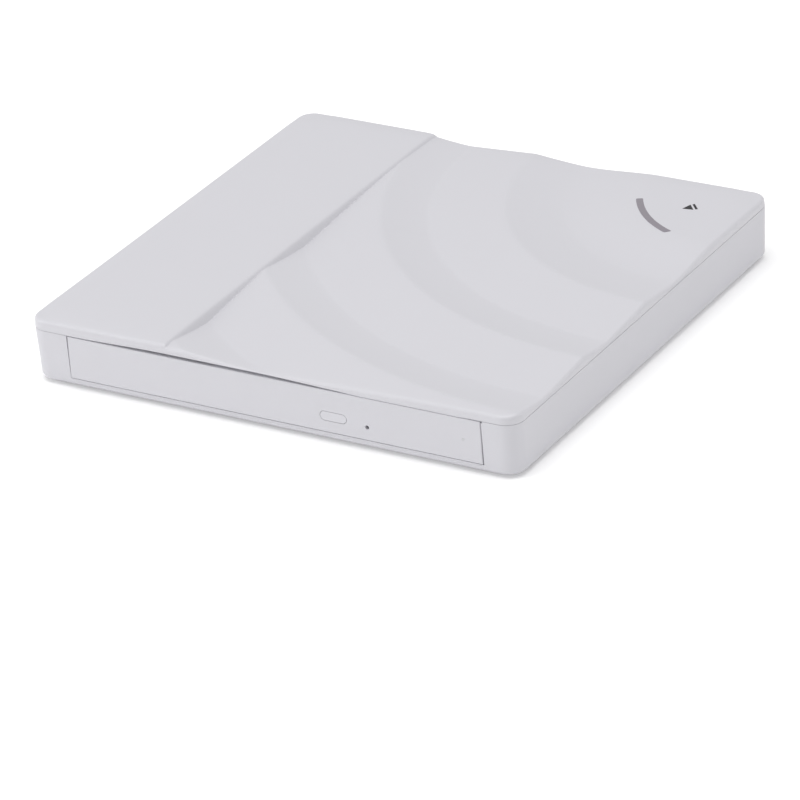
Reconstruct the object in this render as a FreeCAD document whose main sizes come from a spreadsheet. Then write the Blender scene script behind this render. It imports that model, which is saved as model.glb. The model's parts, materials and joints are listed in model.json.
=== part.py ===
import FreeCAD, Part
import math
import os
import re
import Sketcher

# External optical drive: a white two-shell enclosure with a rippled lid around a slim tray-load drive.
# Frame: X to the right along the front, Y towards the back, Z up. The origin lies under the middle of
# the enclosure, on the plane its rubber feet stand on. Sizes are in millimetres.

document = FreeCAD.newDocument("ExternalOpticalDrive")
sheet = document.addObject("Spreadsheet::Sheet", "Dimensions")
nodes = []

dimensions = {
    # enclosure
    "shell_width": 151.0,
    "shell_depth": 146.0,
    "corner_radius": 5.0,
    "corner_slant": 3.0,
    "shell_draft": 1.7,
    "shell_wall": 2.0,
    "shell_floor": 1.6,
    "shell_edge": 1.4,
    "parting_height": 16.0,
    "plateau_height": 19.5,
    "lid_edge": 0.7,
    "lid_wall": 2.2,
    "lid_ceiling": 16.4,
    "foot_height": 1.0,
    "foot_radius": 4.5,
    "foot_recess": 0.5,
    "foot_across": 57.0,
    "foot_along": 56.0,
    "boss_left": -69.0,
    "boss_right": 70.6,
    "boss_along": 63.5,
    "boss_radius": 3.0,
    "boss_top": 12.0,
    "screw_seat": 4.6,
    "screw_radius": 1.0,
    "screw_head_radius": 1.9,
    "screw_head_height": 1.2,
    "screw_length": 11.0,
    "fit_gap": 0.05,
    "lip_side_reach": 52.0,
    "lip_back_reach": 60.0,
    "lip_drop": 1.2,
    # vent slots in the floor
    "vent_left": -21.0,
    "vent_width": 2.0,
    "vent_front": 28.0,
    "vent_back": 42.0,
    # ripples of the lid
    "ripple_center_x": 75.1,
    "ripple_center_y": 73.1,
    "ripple_first": 73.6,
    "ripple_pitch": 34.6,
    "ripple_step": 0.7,
    "ripple_depth": 1.75,
    "ripple_trough": 0.62,
    "ripple_swell": 1.3,
    "ripple_inner_reach": 16.5,
    "ripple_calm": 33.5,
    "crest_softness": 0.06,
    "plateau_edge": -31.6,
    "plateau_fall": 1.8,
    # touch key
    "arc_radius": 36.05,
    "arc_width": 1.95,
    "arc_start": 208.3,
    "arc_sweep": 37.4,
    "symbol_x": 59.1,
    "symbol_y": 56.0,
    "symbol_turn": 41.0,
    "symbol_tip": -2.15,
    "symbol_base": 0.55,
    "symbol_half": 1.7,
    "symbol_bar_near": 1.15,
    "symbol_bar_far": 1.85,
    "touch_left": 42.0,
    "touch_right": 63.5,
    "touch_front": 37.4,
    "touch_back": 60.0,
    "touch_slant": 14.8,
    "touch_ceiling": 18.1,
    "touch_face": 18.8,
    "touch_board_bottom": 16.6,
    "touch_board_top": 17.3,
    # slim drive, fixed frame
    "drive_center": 1.0,
    "drive_width": 128.0,
    "drive_front": -68.6,
    "drive_back": 54.0,
    "drive_bottom": 3.2,
    "drive_top": 15.9,
    "case_sheet": 0.6,
    "rail_bottom": 5.2,
    "rail_top": 11.6,
    "rail_wall": 0.7,
    "rail_depth": 3.0,
    "slide_gap": 0.3,
    "rail_front": -66.0,
    "rail_back": 50.0,
    "middle_wall": 0.6,
    # flex ribbon between the frame and the tray
    "ribbon_left": -30.0,
    "ribbon_right": -8.0,
    "ribbon_fold": -8.0,
    "ribbon_lower_back": 50.0,
    "ribbon_upper_back": 30.0,
    "ribbon_bottom": 4.0,
    "ribbon_upper": 4.65,
    "ribbon_film": 0.15,
    # bezel and its controls
    "bezel_face": -73.0,
    "bezel_back": -69.0,
    "bezel_bottom": 3.3,
    "bezel_top": 15.8,
    "bezel_plate": 1.6,
    "bezel_gap": 0.25,
    "button_x": 20.2,
    "button_z": 8.1,
    "button_length": 8.0,
    "button_height": 2.6,
    "button_gap": 0.12,
    "pinhole_x": 30.5,
    "pinhole_z": 7.2,
    "pinhole_radius": 0.6,
    "lamp_x": 59.6,
    "lamp_z": 9.6,
    "lamp_radius": 0.35,
    # tray
    "tray_width": 125.2,
    "tray_back": 52.6,
    "tray_top": 14.9,
    "tray_slab": 12.3,
    "well_floor": 13.1,
    "well_radius": 60.6,
    "small_well_radius": 40.6,
    "small_well_floor": 12.8,
    "keel_width": 118.8,
    "keel_wall": 1.5,
    "keel_bottom": 5.4,
    "tray_plate_bottom": 5.0,
    "board_bottom": 6.2,
    "board_top": 7.2,
    "spindle_y": -7.5,
    # traverse: its own frame has the spindle as origin and the sled running along its -Y
    "traverse_turn": -45.0,
    "lens_inner": 23.0,
    "rod_offset": 13.5,
    "rod_radius": 1.0,
    "rod_height": 8.6,
    "rod_far": -63.0,
    "rod_near": -12.7,
    "running_gap": 0.05,
    "screw_offset": 18.5,
    "lead_radius": 1.3,
    "plate_bottom": 11.2,
    "plate_top": 12.0,
    "window_half": 17.0,
    "window_far": 64.0,
    "window_narrow": 10.0,
    "window_shoulder": 55.0,
    "motor_radius": 12.0,
    "rotor_radius": 11.6,
    "turntable_radius": 13.0,
    "hub_radius": 7.3,
    "disc_rest": 13.7,
    "hub_top": 15.0,
    # latch and ejector
    "latch_x": 28.0,
    "latch_y": -58.0,
    "latch_bottom": 6.0,
    "latch_top": 7.2,
    "striker_x": 33.3,
    "striker_y": -48.0,
    "striker_radius": 1.0,
    "ejector_x": 50.0,
    "ejector_z": 9.2,
    "ejector_radius": 1.4,
    "ejector_rest": 29.5,
    "link_along": 9.0,
    "link_height": 8.3,
    # rear electronics
    "bridge_left": -40.0,
    "bridge_right": 46.0,
    "bridge_front": 55.6,
    "bridge_back": 70.6,
    "bridge_bottom": 5.4,
    "bridge_top": 6.6,
    "bridge_screw_left": -36.0,
    "bridge_screw_right": 42.0,
    "bridge_screw_along": 63.0,
    "usb_x": 30.0,
    "usb_width": 12.6,
    "usb_height": 2.9,
    "usb_front": 64.2,
    "usb_back": 72.8,
    "usb_tongue_back": 71.6,
    "usb_tongue_low": 1.15,
    "usb_tongue_high": 1.75,
    "jack_x": 8.0,
    "jack_z": 9.7,
    "jack_radius": 1.9,
    "jack_pin_radius": 0.55,
    "jack_front": 61.0,
    "jack_bottom_of_bore": 63.4,
    "sata_left": -34.0,
    "sata_right": -6.0,
}
for row, (alias, number) in enumerate(dimensions.items(), start=1):
    sheet.set("A%d" % row, alias)
    sheet.set("B%d" % row, str(number))
    sheet.setAlias("B%d" % row, alias)
document.recompute()


def size(alias):
    """A driving dimension, read from the sheet."""
    return float(sheet.get(alias))


def linked(text):
    """A formula with each driving dimension's name turned into a reference to the sheet."""
    def reference(match):
        word = match.group(0)
        return "Dimensions." + word if word in dimensions else word
    return re.sub(r"[a-z][a-z_]*", reference, str(text))


def bind(item, target, text):
    item.setExpression(target, linked(text))


def place(item, x="0", y="0", z="0"):
    bind(item, "Placement.Base.x", x)
    bind(item, "Placement.Base.y", y)
    bind(item, "Placement.Base.z", z)


def keep(item, label):
    """Mark a finished sub-part; its label names its file."""
    item.Label = label
    nodes.append(item)
    return item


# ---- Part primitives and booleans ----

def box(name, x, y, z):
    """A block between a low and a high limit on each axis."""
    item = document.addObject("Part::Box", name)
    for side, limits in (("Length", x), ("Width", y), ("Height", z)):
        bind(item, side, "(%s) - (%s)" % (limits[1], limits[0]))
    place(item, x[0], y[0], z[0])
    return item


def rod(name, radius, start, length, axis="z"):
    """A cylinder that starts at a point and runs along an axis."""
    item = document.addObject("Part::Cylinder", name)
    bind(item, "Radius", radius)
    bind(item, "Height", length)
    turns = {"x": (FreeCAD.Vector(0, 1, 0), 90), "y": (FreeCAD.Vector(1, 0, 0), -90),
             "z": (FreeCAD.Vector(0, 0, 1), 0)}
    item.Placement = FreeCAD.Placement(FreeCAD.Vector(), FreeCAD.Rotation(*turns[axis]))
    place(item, *start)
    return item


def fuse(name, pieces):
    item = document.addObject("Part::MultiFuse", name)
    item.Shapes = pieces
    item.Refine = True
    return item


def cut(name, base, tools):
    item = document.addObject("Part::Cut", name)
    item.Base = base
    item.Tool = tools[0] if len(tools) == 1 else fuse(name + "_tools", tools)
    item.Refine = True
    return item


def group(name, pieces):
    """Separate identical solids that make one sub-part."""
    item = document.addObject("Part::Compound", name)
    item.Links = pieces
    return item


# ---- PartDesign bodies and sketches ----

def plane_of(body, role):
    return next(feature for feature in body.Origin.OriginFeatures if feature.Role == role)


def new_body(name):
    return document.addObject("PartDesign::Body", name)


def new_sketch(body, name, level="0", role="XY_Plane"):
    sketch = body.newObject("Sketcher::SketchObject", name)
    sketch.AttachmentSupport = (plane_of(body, role), [""])
    sketch.MapMode = "FlatFace"
    bind(sketch, "AttachmentOffset.Base.z", level)
    return sketch


def fix_point(sketch, geometry, position, x, y, start=(1.0, 1.0)):
    """Pin a sketch point at its distances from the sketch's origin."""
    for kind, text, axis_line, first in (("DistanceX", x, -2, start[0]), ("DistanceY", y, -1, start[1])):
        if str(text) == "0":
            sketch.addConstraint(Sketcher.Constraint("PointOnObject", geometry, position, axis_line))
            continue
        index = sketch.addConstraint(Sketcher.Constraint(kind, -1, 1, geometry, position, first))
        bind(sketch, "Constraints[%d]" % index, text)


def polygon(sketch, points):
    """A closed outline through points given by two formulas each."""
    first = sketch.GeometryCount
    count = len(points)
    for step in range(count):
        start = FreeCAD.Vector(math.cos(2 * math.pi * step / count), math.sin(2 * math.pi * step / count),
                               0)
        turn = 2 * math.pi * (step + 1) / count
        sketch.addGeometry(Part.LineSegment(start, FreeCAD.Vector(math.cos(turn), math.sin(turn), 0)))
    for step in range(count):
        following = first + (step + 1) % count
        sketch.addConstraint(Sketcher.Constraint("Coincident", first + step, 2, following, 1))
    for step, (x, y) in enumerate(points):
        fix_point(sketch, first + step, 1, x, y)


def rectangle(sketch, x, y):
    polygon(sketch, [(x[0], y[0]), (x[1], y[0]), (x[1], y[1]), (x[0], y[1])])


def circle(sketch, x, y, radius):
    index = sketch.addGeometry(Part.Circle(FreeCAD.Vector(1, 1, 0), FreeCAD.Vector(0, 0, 1), 1.0))
    fix_point(sketch, index, 3, x, y)
    constraint = sketch.addConstraint(Sketcher.Constraint("Radius", index, 1.0))
    bind(sketch, "Constraints[%d]" % constraint, radius)


def pad(body, sketch, length, downwards=False):
    feature = body.newObject("PartDesign::Pad", sketch.Name + "_pad")
    feature.Profile = sketch
    feature.Reversed = downwards
    bind(feature, "Length", length)
    document.recompute()
    return feature


def pocket(body, sketch, depth, upwards=False):
    """Cut a sketch's outline out of the body, downwards unless it is told to cut upwards."""
    before = body.Shape.Volume
    feature = body.newObject("PartDesign::Pocket", sketch.Name + "_pocket")
    feature.Profile = sketch
    feature.Reversed = upwards
    bind(feature, "Length", depth)
    document.recompute()
    if not body.Shape.Volume < before:
        raise ValueError(feature.Name + " cuts nothing")
    return feature


def upright(edge):
    start, end = edge.Vertexes[0].Point, edge.Vertexes[-1].Point
    tilt = math.hypot(start.x - end.x, start.y - end.y)
    return abs(start.z - end.z) > max(3 * tilt, 0.9 * edge.Length)


def round_edges(body, base, radius, chosen, kind="Fillet"):
    """Round or bevel the edges of a feature that a test picks."""
    names = ["Edge%d" % (index + 1) for index, edge in enumerate(base.Shape.Edges) if chosen(edge)]
    feature = body.newObject("PartDesign::" + kind, base.Name + "_" + kind.lower())
    feature.Base = (base, names)
    bind(feature, "Radius" if kind == "Fillet" else "Size", radius)
    document.recompute()
    return feature


def plate(name, points, level, thickness, holes=(), windows=()):
    """A flat plate from an outline, with round holes and straight-sided windows through it."""
    body = new_body(name)
    outline = new_sketch(body, name + "_outline", level)
    polygon(outline, points)
    for x, y, radius in holes:
        circle(outline, x, y, radius)
    for window in windows:
        polygon(outline, window)
    pad(body, outline, thickness)
    return body


def turned(name, profile, x="0", y="0"):
    """A piece turned about an upright axis from its half section of radius and height."""
    body = new_body(name)
    outline = new_sketch(body, name + "_section", "0", "XZ_Plane")
    polygon(outline, profile)
    feature = body.newObject("PartDesign::Revolution", name + "_turn")
    feature.Profile = outline
    feature.ReferenceAxis = (outline, ["V_Axis"])
    feature.Angle = 360
    place(body, x, y)
    document.recompute()
    return body


def on_traverse(item):
    """Put a piece that is drawn in the traverse's own frame at its place in the tray."""
    item.Placement = FreeCAD.Placement(FreeCAD.Vector(), FreeCAD.Rotation(FreeCAD.Vector(0, 0, 1), 1))
    place(item, "drive_center", "spindle_y")
    bind(item, "Placement.Rotation.Angle", "traverse_turn")
    return item


def corner_points():
    """The four enclosure screw places."""
    return [(x, y) for x in ("boss_left", "boss_right") for y in ("0 - boss_along", "boss_along")]


def foot_points():
    return [(x, y) for x in ("0 - foot_across", "foot_across") for y in ("0 - foot_along", "foot_along")]


# ---- enclosure ----

def smooth_share(value):
    """Eases a share of 0 to 1, level at both ends."""
    share = min(max(value, 0.0), 1.0)
    return share * share * (3 - 2 * share)


def ripple_height(x, y):
    """Height of the rings about the back right corner, which lie below the lid's flat left strip."""
    first, inner_reach = size("ripple_first"), size("ripple_inner_reach")
    calm, swell, outer_share = size("ripple_calm"), size("ripple_swell"), size("ripple_trough")
    radius = math.hypot(x - size("ripple_center_x"), y - size("ripple_center_y"))
    inner_trough = first - inner_reach
    share = (radius - first) / size("ripple_pitch") % 1.0
    if radius < inner_trough:
        drop = smooth_share((radius - calm) / (inner_trough - calm))
    elif radius < first:
        drop = 1 - ((radius - inner_trough) / inner_reach) ** swell
    elif share < outer_share:
        drop = share / outer_share
    else:
        drop = 1 - ((share - outer_share) / (1 - outer_share)) ** swell
    wave = size("ripple_depth") * drop * drop / math.hypot(drop, size("crest_softness"))
    return size("plateau_height") - size("ripple_step") - wave


def make_ripple_tool():
    """The solid above the rings, bounded on the left by the leaning wall of the flat strip."""
    margin = 4
    half_width, half_depth = size("shell_width") / 2 + margin, size("shell_depth") / 2 + margin
    columns, rows = 48, 46
    grid = []
    for column in range(columns + 1):
        x = -half_width + 2 * half_width * column / columns
        line = [-half_depth + 2 * half_depth * row / rows for row in range(rows + 1)]
        grid.append([FreeCAD.Vector(x, y, ripple_height(x, y)) for y in line])
    surface = Part.BSplineSurface()
    surface.interpolate(grid)
    above = document.addObject("Part::Feature", "ripple_space")
    above.Shape = surface.toShape().extrude(FreeCAD.Vector(0, 0, 2 * margin))
    side = new_body("ripple_side")
    outline = new_sketch(side, "ripple_side_outline", "0 - shell_depth / 2 - 3", "XZ_Plane")
    polygon(outline, [("plateau_edge", "plateau_height"),
                      ("plateau_edge + (plateau_height - parting_height) / plateau_fall", "parting_height"),
                      ("shell_width / 2 + 3", "parting_height"),
                      ("shell_width / 2 + 3", "plateau_height + 3"),
                      ("plateau_edge", "plateau_height + 3")])
    pad(side, outline, "shell_depth + 6")
    tool = document.addObject("Part::Common", "ripple_tool")
    tool.Base = above
    tool.Tool = side
    return tool


def outline_body(name, level, height, draft):
    """The enclosure's rounded outline as a drafted block, widest at the parting plane."""
    body = new_body(name)
    outline = new_sketch(body, name + "_outline", "parting_height")
    rectangle(outline, ("0 - shell_width / 2", "shell_width / 2"),
              ("0 - shell_depth / 2", "shell_depth / 2"))
    block = pad(body, outline, height, downwards=level == "below")
    bind(block, "TaperAngle", "0 - " + draft)
    document.recompute()
    corners = round_edges(body, block, "corner_radius", upright)
    return body, corners


def hollow_outline(sketch, wall):
    """The enclosure's inside, with slanted corners that keep the wall's thickness behind the round ones."""
    across, along = "(shell_width / 2 - %s)" % wall, "(shell_depth / 2 - %s)" % wall
    points = []
    for x, y, first in (("0 - ", "0 - ", "x"), ("", "0 - ", "y"), ("", "", "x"), ("0 - ", "", "y")):
        slanted = [(x + "(%s - corner_slant)" % across, y + along),
                   (x + across, y + "(%s - corner_slant)" % along)]
        points += slanted[::-1] if first == "x" else slanted
    polygon(sketch, points)


def make_top_cover():
    body, block = outline_body("lid_blank", "above", "plateau_height - parting_height + 0.3", "shell_draft")
    round_edges(body, block, "lid_edge + 0.3", lambda edge: edge.BoundBox.ZMin > size("plateau_height"))
    hollow = new_sketch(body, "lid_hollow", "parting_height")
    hollow_outline(hollow, "lid_wall")
    pocket(body, hollow, "lid_ceiling - parting_height", upwards=True)
    strip = new_sketch(body, "lid_strip_hollow", "lid_ceiling")
    rectangle(strip, ("lid_wall - shell_width / 2 + 1", "plateau_edge - 4"),
              ("lid_wall - shell_depth / 2 + corner_slant", "shell_depth / 2 - lid_wall - corner_slant"))
    pocket(body, strip, "1.4", upwards=True)
    touch = new_sketch(body, "lid_touch_hollow", "lid_ceiling")
    polygon(touch, touch_outline("0"))
    pocket(body, touch, "touch_ceiling - lid_ceiling", upwards=True)
    crown = box("lid_crown", ("0 - shell_width / 2 - 1", "shell_width / 2 + 1"),
                ("0 - shell_depth / 2 - 1", "shell_depth / 2 + 1"),
                ("plateau_height", "plateau_height + 2"))
    rippled = cut("lid_rippled", body, [make_ripple_tool(), crown])
    pieces = [rippled]
    for step, (x, y) in enumerate(corner_points()):
        reach = "1.5" if x == "boss_left" else "0.1"
        pieces.append(rod("lid_post_%d" % step, "boss_radius - 0.2", (x, y, "boss_top + 0.1"),
                          "lid_ceiling + %s - boss_top" % reach))
    lips = ("parting_height - lip_drop", "lid_ceiling + 0.2")
    sides, back = ("0 - lip_side_reach", "lip_side_reach"), ("0 - lip_back_reach", "lip_back_reach")
    inner_x, inner_y = "(shell_width / 2 - shell_wall - 0.2)", "(shell_depth / 2 - shell_wall - 0.2)"
    pieces.append(box("lid_lip_left", ("0 - " + inner_x, "1 - " + inner_x), sides, lips))
    pieces.append(box("lid_lip_right", (inner_x + " - 1", inner_x), sides, lips))
    pieces.append(box("lid_lip_back", back, (inner_y + " - 1", inner_y), lips))
    solid = fuse("lid_with_posts", pieces)
    tools = [make_arc("lid_arc_slot", "arc_width / 2 + fit_gap", "touch_ceiling - 1", "plateau_height + 1")]
    tools.append(make_symbol("lid_symbol_recess", "fit_gap", "touch_face - 0.4", "plateau_height + 1"))
    for step, (x, y) in enumerate(corner_points()):
        tools.append(rod("lid_pilot_%d" % step, "screw_radius + fit_gap", (x, y, "boss_top"), "4.4"))
    keep(cut("top_cover", solid, tools), "top_cover")


def make_arc(name, half_width, low, high):
    """The curved bar of the touch key, concentric with the ripples, with rounded corners."""
    body = new_body(name)
    sketch = new_sketch(body, name + "_outline", low)
    middle = size("arc_radius")
    center = FreeCAD.Vector(size("ripple_center_x"), size("ripple_center_y"), 0)
    first, last = math.radians(size("arc_start")), math.radians(size("arc_start") + size("arc_sweep"))
    ends = []
    for radius in (middle - 1, middle + 1):
        curve = Part.ArcOfCircle(Part.Circle(center, FreeCAD.Vector(0, 0, 1), radius), first, last)
        sketch.addGeometry(curve)
        ends.append((curve.StartPoint, curve.EndPoint))
    for end in (0, 1):
        sketch.addGeometry(Part.LineSegment(ends[0][end], ends[1][end]))
    fix_point(sketch, 0, 3, "ripple_center_x", "ripple_center_y", (center.x, center.y))
    sketch.addConstraint(Sketcher.Constraint("Coincident", 0, 3, 1, 3))
    for line, position in ((2, 1), (3, 2)):
        sketch.addConstraint(Sketcher.Constraint("Coincident", line, 1, 0, position))
        sketch.addConstraint(Sketcher.Constraint("Coincident", line, 2, 1, position))
    for geometry, sign in ((0, "-"), (1, "+")):
        radius = "(arc_radius %s (%s))" % (sign, half_width)
        first_radius = middle + 2 * geometry - 1
        index = sketch.addConstraint(Sketcher.Constraint("Radius", geometry, first_radius))
        bind(sketch, "Constraints[%d]" % index, radius)
        for position, angle, turn in ((1, "arc_start", first), (2, "arc_start + arc_sweep", last)):
            across = center.x + first_radius * math.cos(turn)
            index = sketch.addConstraint(Sketcher.Constraint("DistanceX", -1, 1, geometry, position,
                                                             across))
            bind(sketch, "Constraints[%d]" % index, "ripple_center_x + %s * cos(%s)" % (radius, angle))
    bar = pad(body, sketch, "(%s) - (%s)" % (high, low))
    round_edges(body, bar, "0.5", upright)
    return body


def touch_outline(margin):
    """The touch key's board and the hollow for it, slanted along the light guide."""
    left, right = "touch_left + %s" % margin, "touch_right - %s" % margin
    front, back = "touch_front + %s" % margin, "touch_back - %s" % margin
    return [(left, back), (left, front + " + touch_slant"), (left + " + touch_slant", front),
            (right, front), (right, back)]


def make_symbol(name, margin, low, high):
    """The touch key's mark: a triangle with a bar behind its base, in a frame of its own."""
    body = new_body(name)
    sketch = new_sketch(body, name + "_outline", low)
    tip, base = "symbol_tip - 2 * (%s)" % margin, "symbol_base + (%s)" % margin
    half = "symbol_half + (%s)" % margin
    polygon(sketch, [(tip, "0"), (base, "0 - (%s)" % half), (base, half)])
    rectangle(sketch, ("symbol_bar_near - (%s)" % margin, "symbol_bar_far + (%s)" % margin),
              ("0 - (%s)" % half, half))
    pad(body, sketch, "(%s) - (%s)" % (high, low))
    body.Placement = FreeCAD.Placement(FreeCAD.Vector(), FreeCAD.Rotation(FreeCAD.Vector(0, 0, 1), 1))
    place(body, "symbol_x", "symbol_y")
    bind(body, "Placement.Rotation.Angle", "symbol_turn")
    return body


def make_base_shell():
    body, block = outline_body("base_blank", "below", "parting_height - foot_height", "shell_draft")
    round_edges(body, block, "shell_edge", lambda edge: edge.BoundBox.ZMax < size("foot_height") + 0.5)
    hollow = new_sketch(body, "base_hollow", "parting_height")
    hollow_outline(hollow, "shell_wall")
    pocket(body, hollow, "parting_height - foot_height - shell_floor")
    mouth = new_sketch(body, "base_mouth", "parting_height")
    mouth_left = "drive_center - drive_width / 2 - bezel_gap"
    mouth_right = "drive_center + drive_width / 2 + bezel_gap"
    rectangle(mouth, (mouth_left, mouth_right),
              ("-1 - shell_depth / 2", "shell_wall + 1 - shell_depth / 2"))
    pocket(body, mouth, "parting_height - bezel_bottom + bezel_gap")
    feet = new_sketch(body, "base_foot_recesses", "foot_height")
    for x, y in foot_points():
        circle(feet, x, y, "foot_radius + 0.1")
    pocket(body, feet, "foot_recess", upwards=True)
    vent = new_sketch(body, "base_vent", "foot_height + shell_floor")
    rectangle(vent, ("vent_left", "vent_left + vent_width"), ("vent_front", "vent_back"))
    slot = pocket(body, vent, "shell_floor + 1")
    row = body.newObject("PartDesign::LinearPattern", "base_vent_row")
    row.Originals = [slot]
    row.Direction = (vent, ["H_Axis"])
    row.Length = 42
    row.Occurrences = 8
    body.Tip = row
    document.recompute()
    pieces = [body]
    floor_top = "foot_height + shell_floor - 0.2"
    for name, low in (("left", "(%s) - shell_wall" % mouth_left), ("right", mouth_right)):
        pieces.append(box("base_cheek_" + name, (low, "(%s) + shell_wall" % low), ("-72", "-58"),
                          (floor_top, "bezel_top")))
    for step, x in enumerate(("-50", "52")):
        pieces.append(box("base_rib_%d" % step, (x, "%s + 2" % x), ("-60", "48"),
                          (floor_top, "drive_bottom - 0.05")))
    for step, (x, y) in enumerate(corner_points()):
        pieces.append(rod("base_boss_%d" % step, "boss_radius + 0.2", (x, y, floor_top),
                          "boss_top - foot_height - 1.4"))
    for step, x in enumerate(("bridge_screw_left", "bridge_screw_right")):
        pieces.append(rod("base_stand_%d" % step, "2.4", (x, "bridge_screw_along", floor_top),
                          "bridge_bottom - foot_height - 1.4"))
    tools = []
    for step, (x, y) in enumerate(corner_points()):
        tools.append(rod("base_bore_%d" % step, "screw_radius + 0.2", (x, y, "0"), "boss_top + 1"))
        tools.append(rod("base_sink_%d" % step, "screw_head_radius + 0.3", (x, y, "0"), "screw_seat"))
    for step, x in enumerate(("bridge_screw_left", "bridge_screw_right")):
        tools.append(rod("base_stand_pilot_%d" % step, "0.85",
                         (x, "bridge_screw_along", "foot_height + 2"), "bridge_bottom"))
    tools.append(box("base_usb_mouth", ("usb_x - usb_width / 2 - 0.3", "usb_x + usb_width / 2 + 0.3"),
                     ("70", "75"), ("bridge_top - 0.3", "bridge_top + usb_height + 0.3")))
    tools.append(rod("base_jack_mouth", "jack_radius + 0.9", ("jack_x", "70", "jack_z"), "5", "y"))
    tools.append(box("base_corner_notch", (mouth_right + " - 0.1", mouth_right + " + 0.4"), ("-74", "-60"),
                     ("parting_height - 0.5", "parting_height + 1")))
    keep(cut("base_shell", fuse("base_with_bosses", pieces), tools), "base_shell")


def make_feet_and_screws():
    feet = []
    for step, (x, y) in enumerate(foot_points()):
        foot = turned("foot_%d" % step, [("0", "0"), ("foot_radius - 0.4", "0"), ("foot_radius", "0.4"),
                                         ("foot_radius", "foot_height + foot_recess"),
                                         ("0", "foot_height + foot_recess")], x, y)
        feet.append(foot)
    keep(group("rubber_feet", feet), "rubber_feet")
    screws = []
    for step, (x, y) in enumerate(corner_points()):
        screws.append(make_screw("shell_screw_%d" % step, x, y, "screw_seat", "screw_length"))
    keep(group("enclosure_screws", screws), "enclosure_screws")


def make_screw(name, x, y, seat, length):
    """A pan head screw driven upwards against a seat, with a hexagonal socket."""
    profile = [("0", "(%s) - 0.3" % seat), ("0.7", "(%s) - 0.3" % seat),
               ("0.7", "(%s) - screw_head_height" % seat),
               ("screw_head_radius - 0.3", "(%s) - screw_head_height" % seat),
               ("screw_head_radius", "(%s) - screw_head_height + 0.4" % seat), ("screw_head_radius", seat),
               ("screw_radius", seat), ("screw_radius", "(%s) + (%s)" % (seat, length)),
               ("0", "(%s) + (%s)" % (seat, length))]
    return turned(name, profile, x, y)


def make_touch_key():
    keep(make_arc("touch_light_guide", "arc_width / 2", "touch_board_top + 0.6", "touch_face"),
         "touch_light_guide")
    keep(make_symbol("eject_symbol", "0", "touch_face - 0.35", "touch_face"), "eject_symbol")
    keep(plate("touch_board", touch_outline("0.3"), "touch_board_bottom",
               "touch_board_top - touch_board_bottom"), "touch_board")
    keep(box("touch_electrode", ("touch_right - 8", "touch_right - 1.5"),
             ("touch_back - 11", "touch_back - 2"), ("touch_board_top", "touch_board_top + 0.7")),
         "touch_electrode")
    lamps = []
    for step in range(3):
        turn = math.radians(size("arc_start") + size("arc_sweep") * (0.2 + 0.3 * step))
        lamp_x = "ripple_center_x + arc_radius * %.5f" % math.cos(turn)
        lamp_y = "ripple_center_y + arc_radius * %.5f" % math.sin(turn)
        lamps.append(box("touch_lamp_%d" % step, (lamp_x + " - 0.8", lamp_x + " + 0.8"),
                         (lamp_y + " - 0.5", lamp_y + " + 0.5"),
                         ("touch_board_top", "touch_board_top + 0.5")))
    keep(group("touch_lamps", lamps), "touch_lamps")


def make_bridge():
    screw_places = ("bridge_screw_left", "bridge_screw_right")
    holes = [(x, "bridge_screw_along", "1.2") for x in screw_places]
    outline = [("bridge_left", "bridge_front"), ("bridge_right", "bridge_front"),
               ("bridge_right", "bridge_back"), ("bridge_left", "bridge_back")]
    keep(plate("bridge_board", outline, "bridge_bottom", "bridge_top - bridge_bottom", holes),
         "bridge_board")
    screws = []
    for step, x in enumerate(screw_places):
        profile = [("0", "bridge_bottom - 2.2"), ("0.8", "bridge_bottom - 2.2"), ("0.8", "bridge_top"),
                   ("2", "bridge_top"), ("2", "bridge_top + 0.6"), ("1.6", "bridge_top + 1.1"),
                   ("0", "bridge_top + 1.1")]
        screws.append(turned("board_screw_%d" % step, profile, x, "bridge_screw_along"))
    keep(group("board_screws", screws), "board_screws")
    chips = [box("bridge_chip", ("12", "19"), ("57.5", "64.5"), ("bridge_top", "bridge_top + 0.9")),
             box("memory_chip", ("-3", "2"), ("57", "61"), ("bridge_top", "bridge_top + 1.5")),
             box("power_coil", ("-2", "3"), ("63", "68"), ("bridge_top", "bridge_top + 2.2"))]
    keep(group("bridge_chips", chips), "bridge_chips")
    cans = [rod("can_%d" % step, "2", (x, "59.5", "bridge_top"), "4.2")
            for step, x in enumerate(("26.5", "32", "37.5"))]
    keep(group("smoothing_capacitors", cans), "smoothing_capacitors")
    make_usb_socket()
    make_power_jack()
    plug = box("sata_block", ("sata_left", "sata_right"), ("drive_back + 1.2", "drive_back + 7.2"),
               ("bridge_top", "bridge_top + 5.4"))
    recess = box("sata_recess", ("sata_left + 1.2", "sata_right - 1.2"), ("drive_back", "drive_back + 4.8"),
                 ("bridge_top + 1.4", "bridge_top + 4.2"))
    keep(cut("bridge_sata_socket", plug, [recess]), "bridge_sata_socket")


def make_usb_socket():
    """The wide two-part socket: a main port with a narrower one beside it in one metal sleeve."""
    left, right = "usb_x - usb_width / 2", "usb_x + usb_width / 2"
    room = (("usb_front + 0.8", "usb_back + 1.2"), ("bridge_top + 0.35", "bridge_top + usb_height - 0.35"))
    tongue = (("usb_front + 0.8", "usb_tongue_back"),
              ("bridge_top + usb_tongue_low", "bridge_top + usb_tongue_high"))
    sleeve = box("usb_sleeve", (left, right), ("usb_front", "usb_back"),
                 ("bridge_top", "bridge_top + usb_height"))
    rooms = [box("usb_main_room", (left + " + 0.35", "usb_x + 0.9"), *room),
             box("usb_side_room", ("usb_x + 1.6", right + " - 0.35"), *room)]
    keep(cut("usb_socket_sleeve", sleeve, rooms), "usb_socket_sleeve")
    tongues = [box("usb_main_tongue", (left + " + 1.2", "usb_x + 0.1"), *tongue),
               box("usb_side_tongue", ("usb_x + 2.3", right + " - 1.1"), *tongue)]
    keep(group("usb_contact_tongue", tongues), "usb_contact_tongue")


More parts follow.
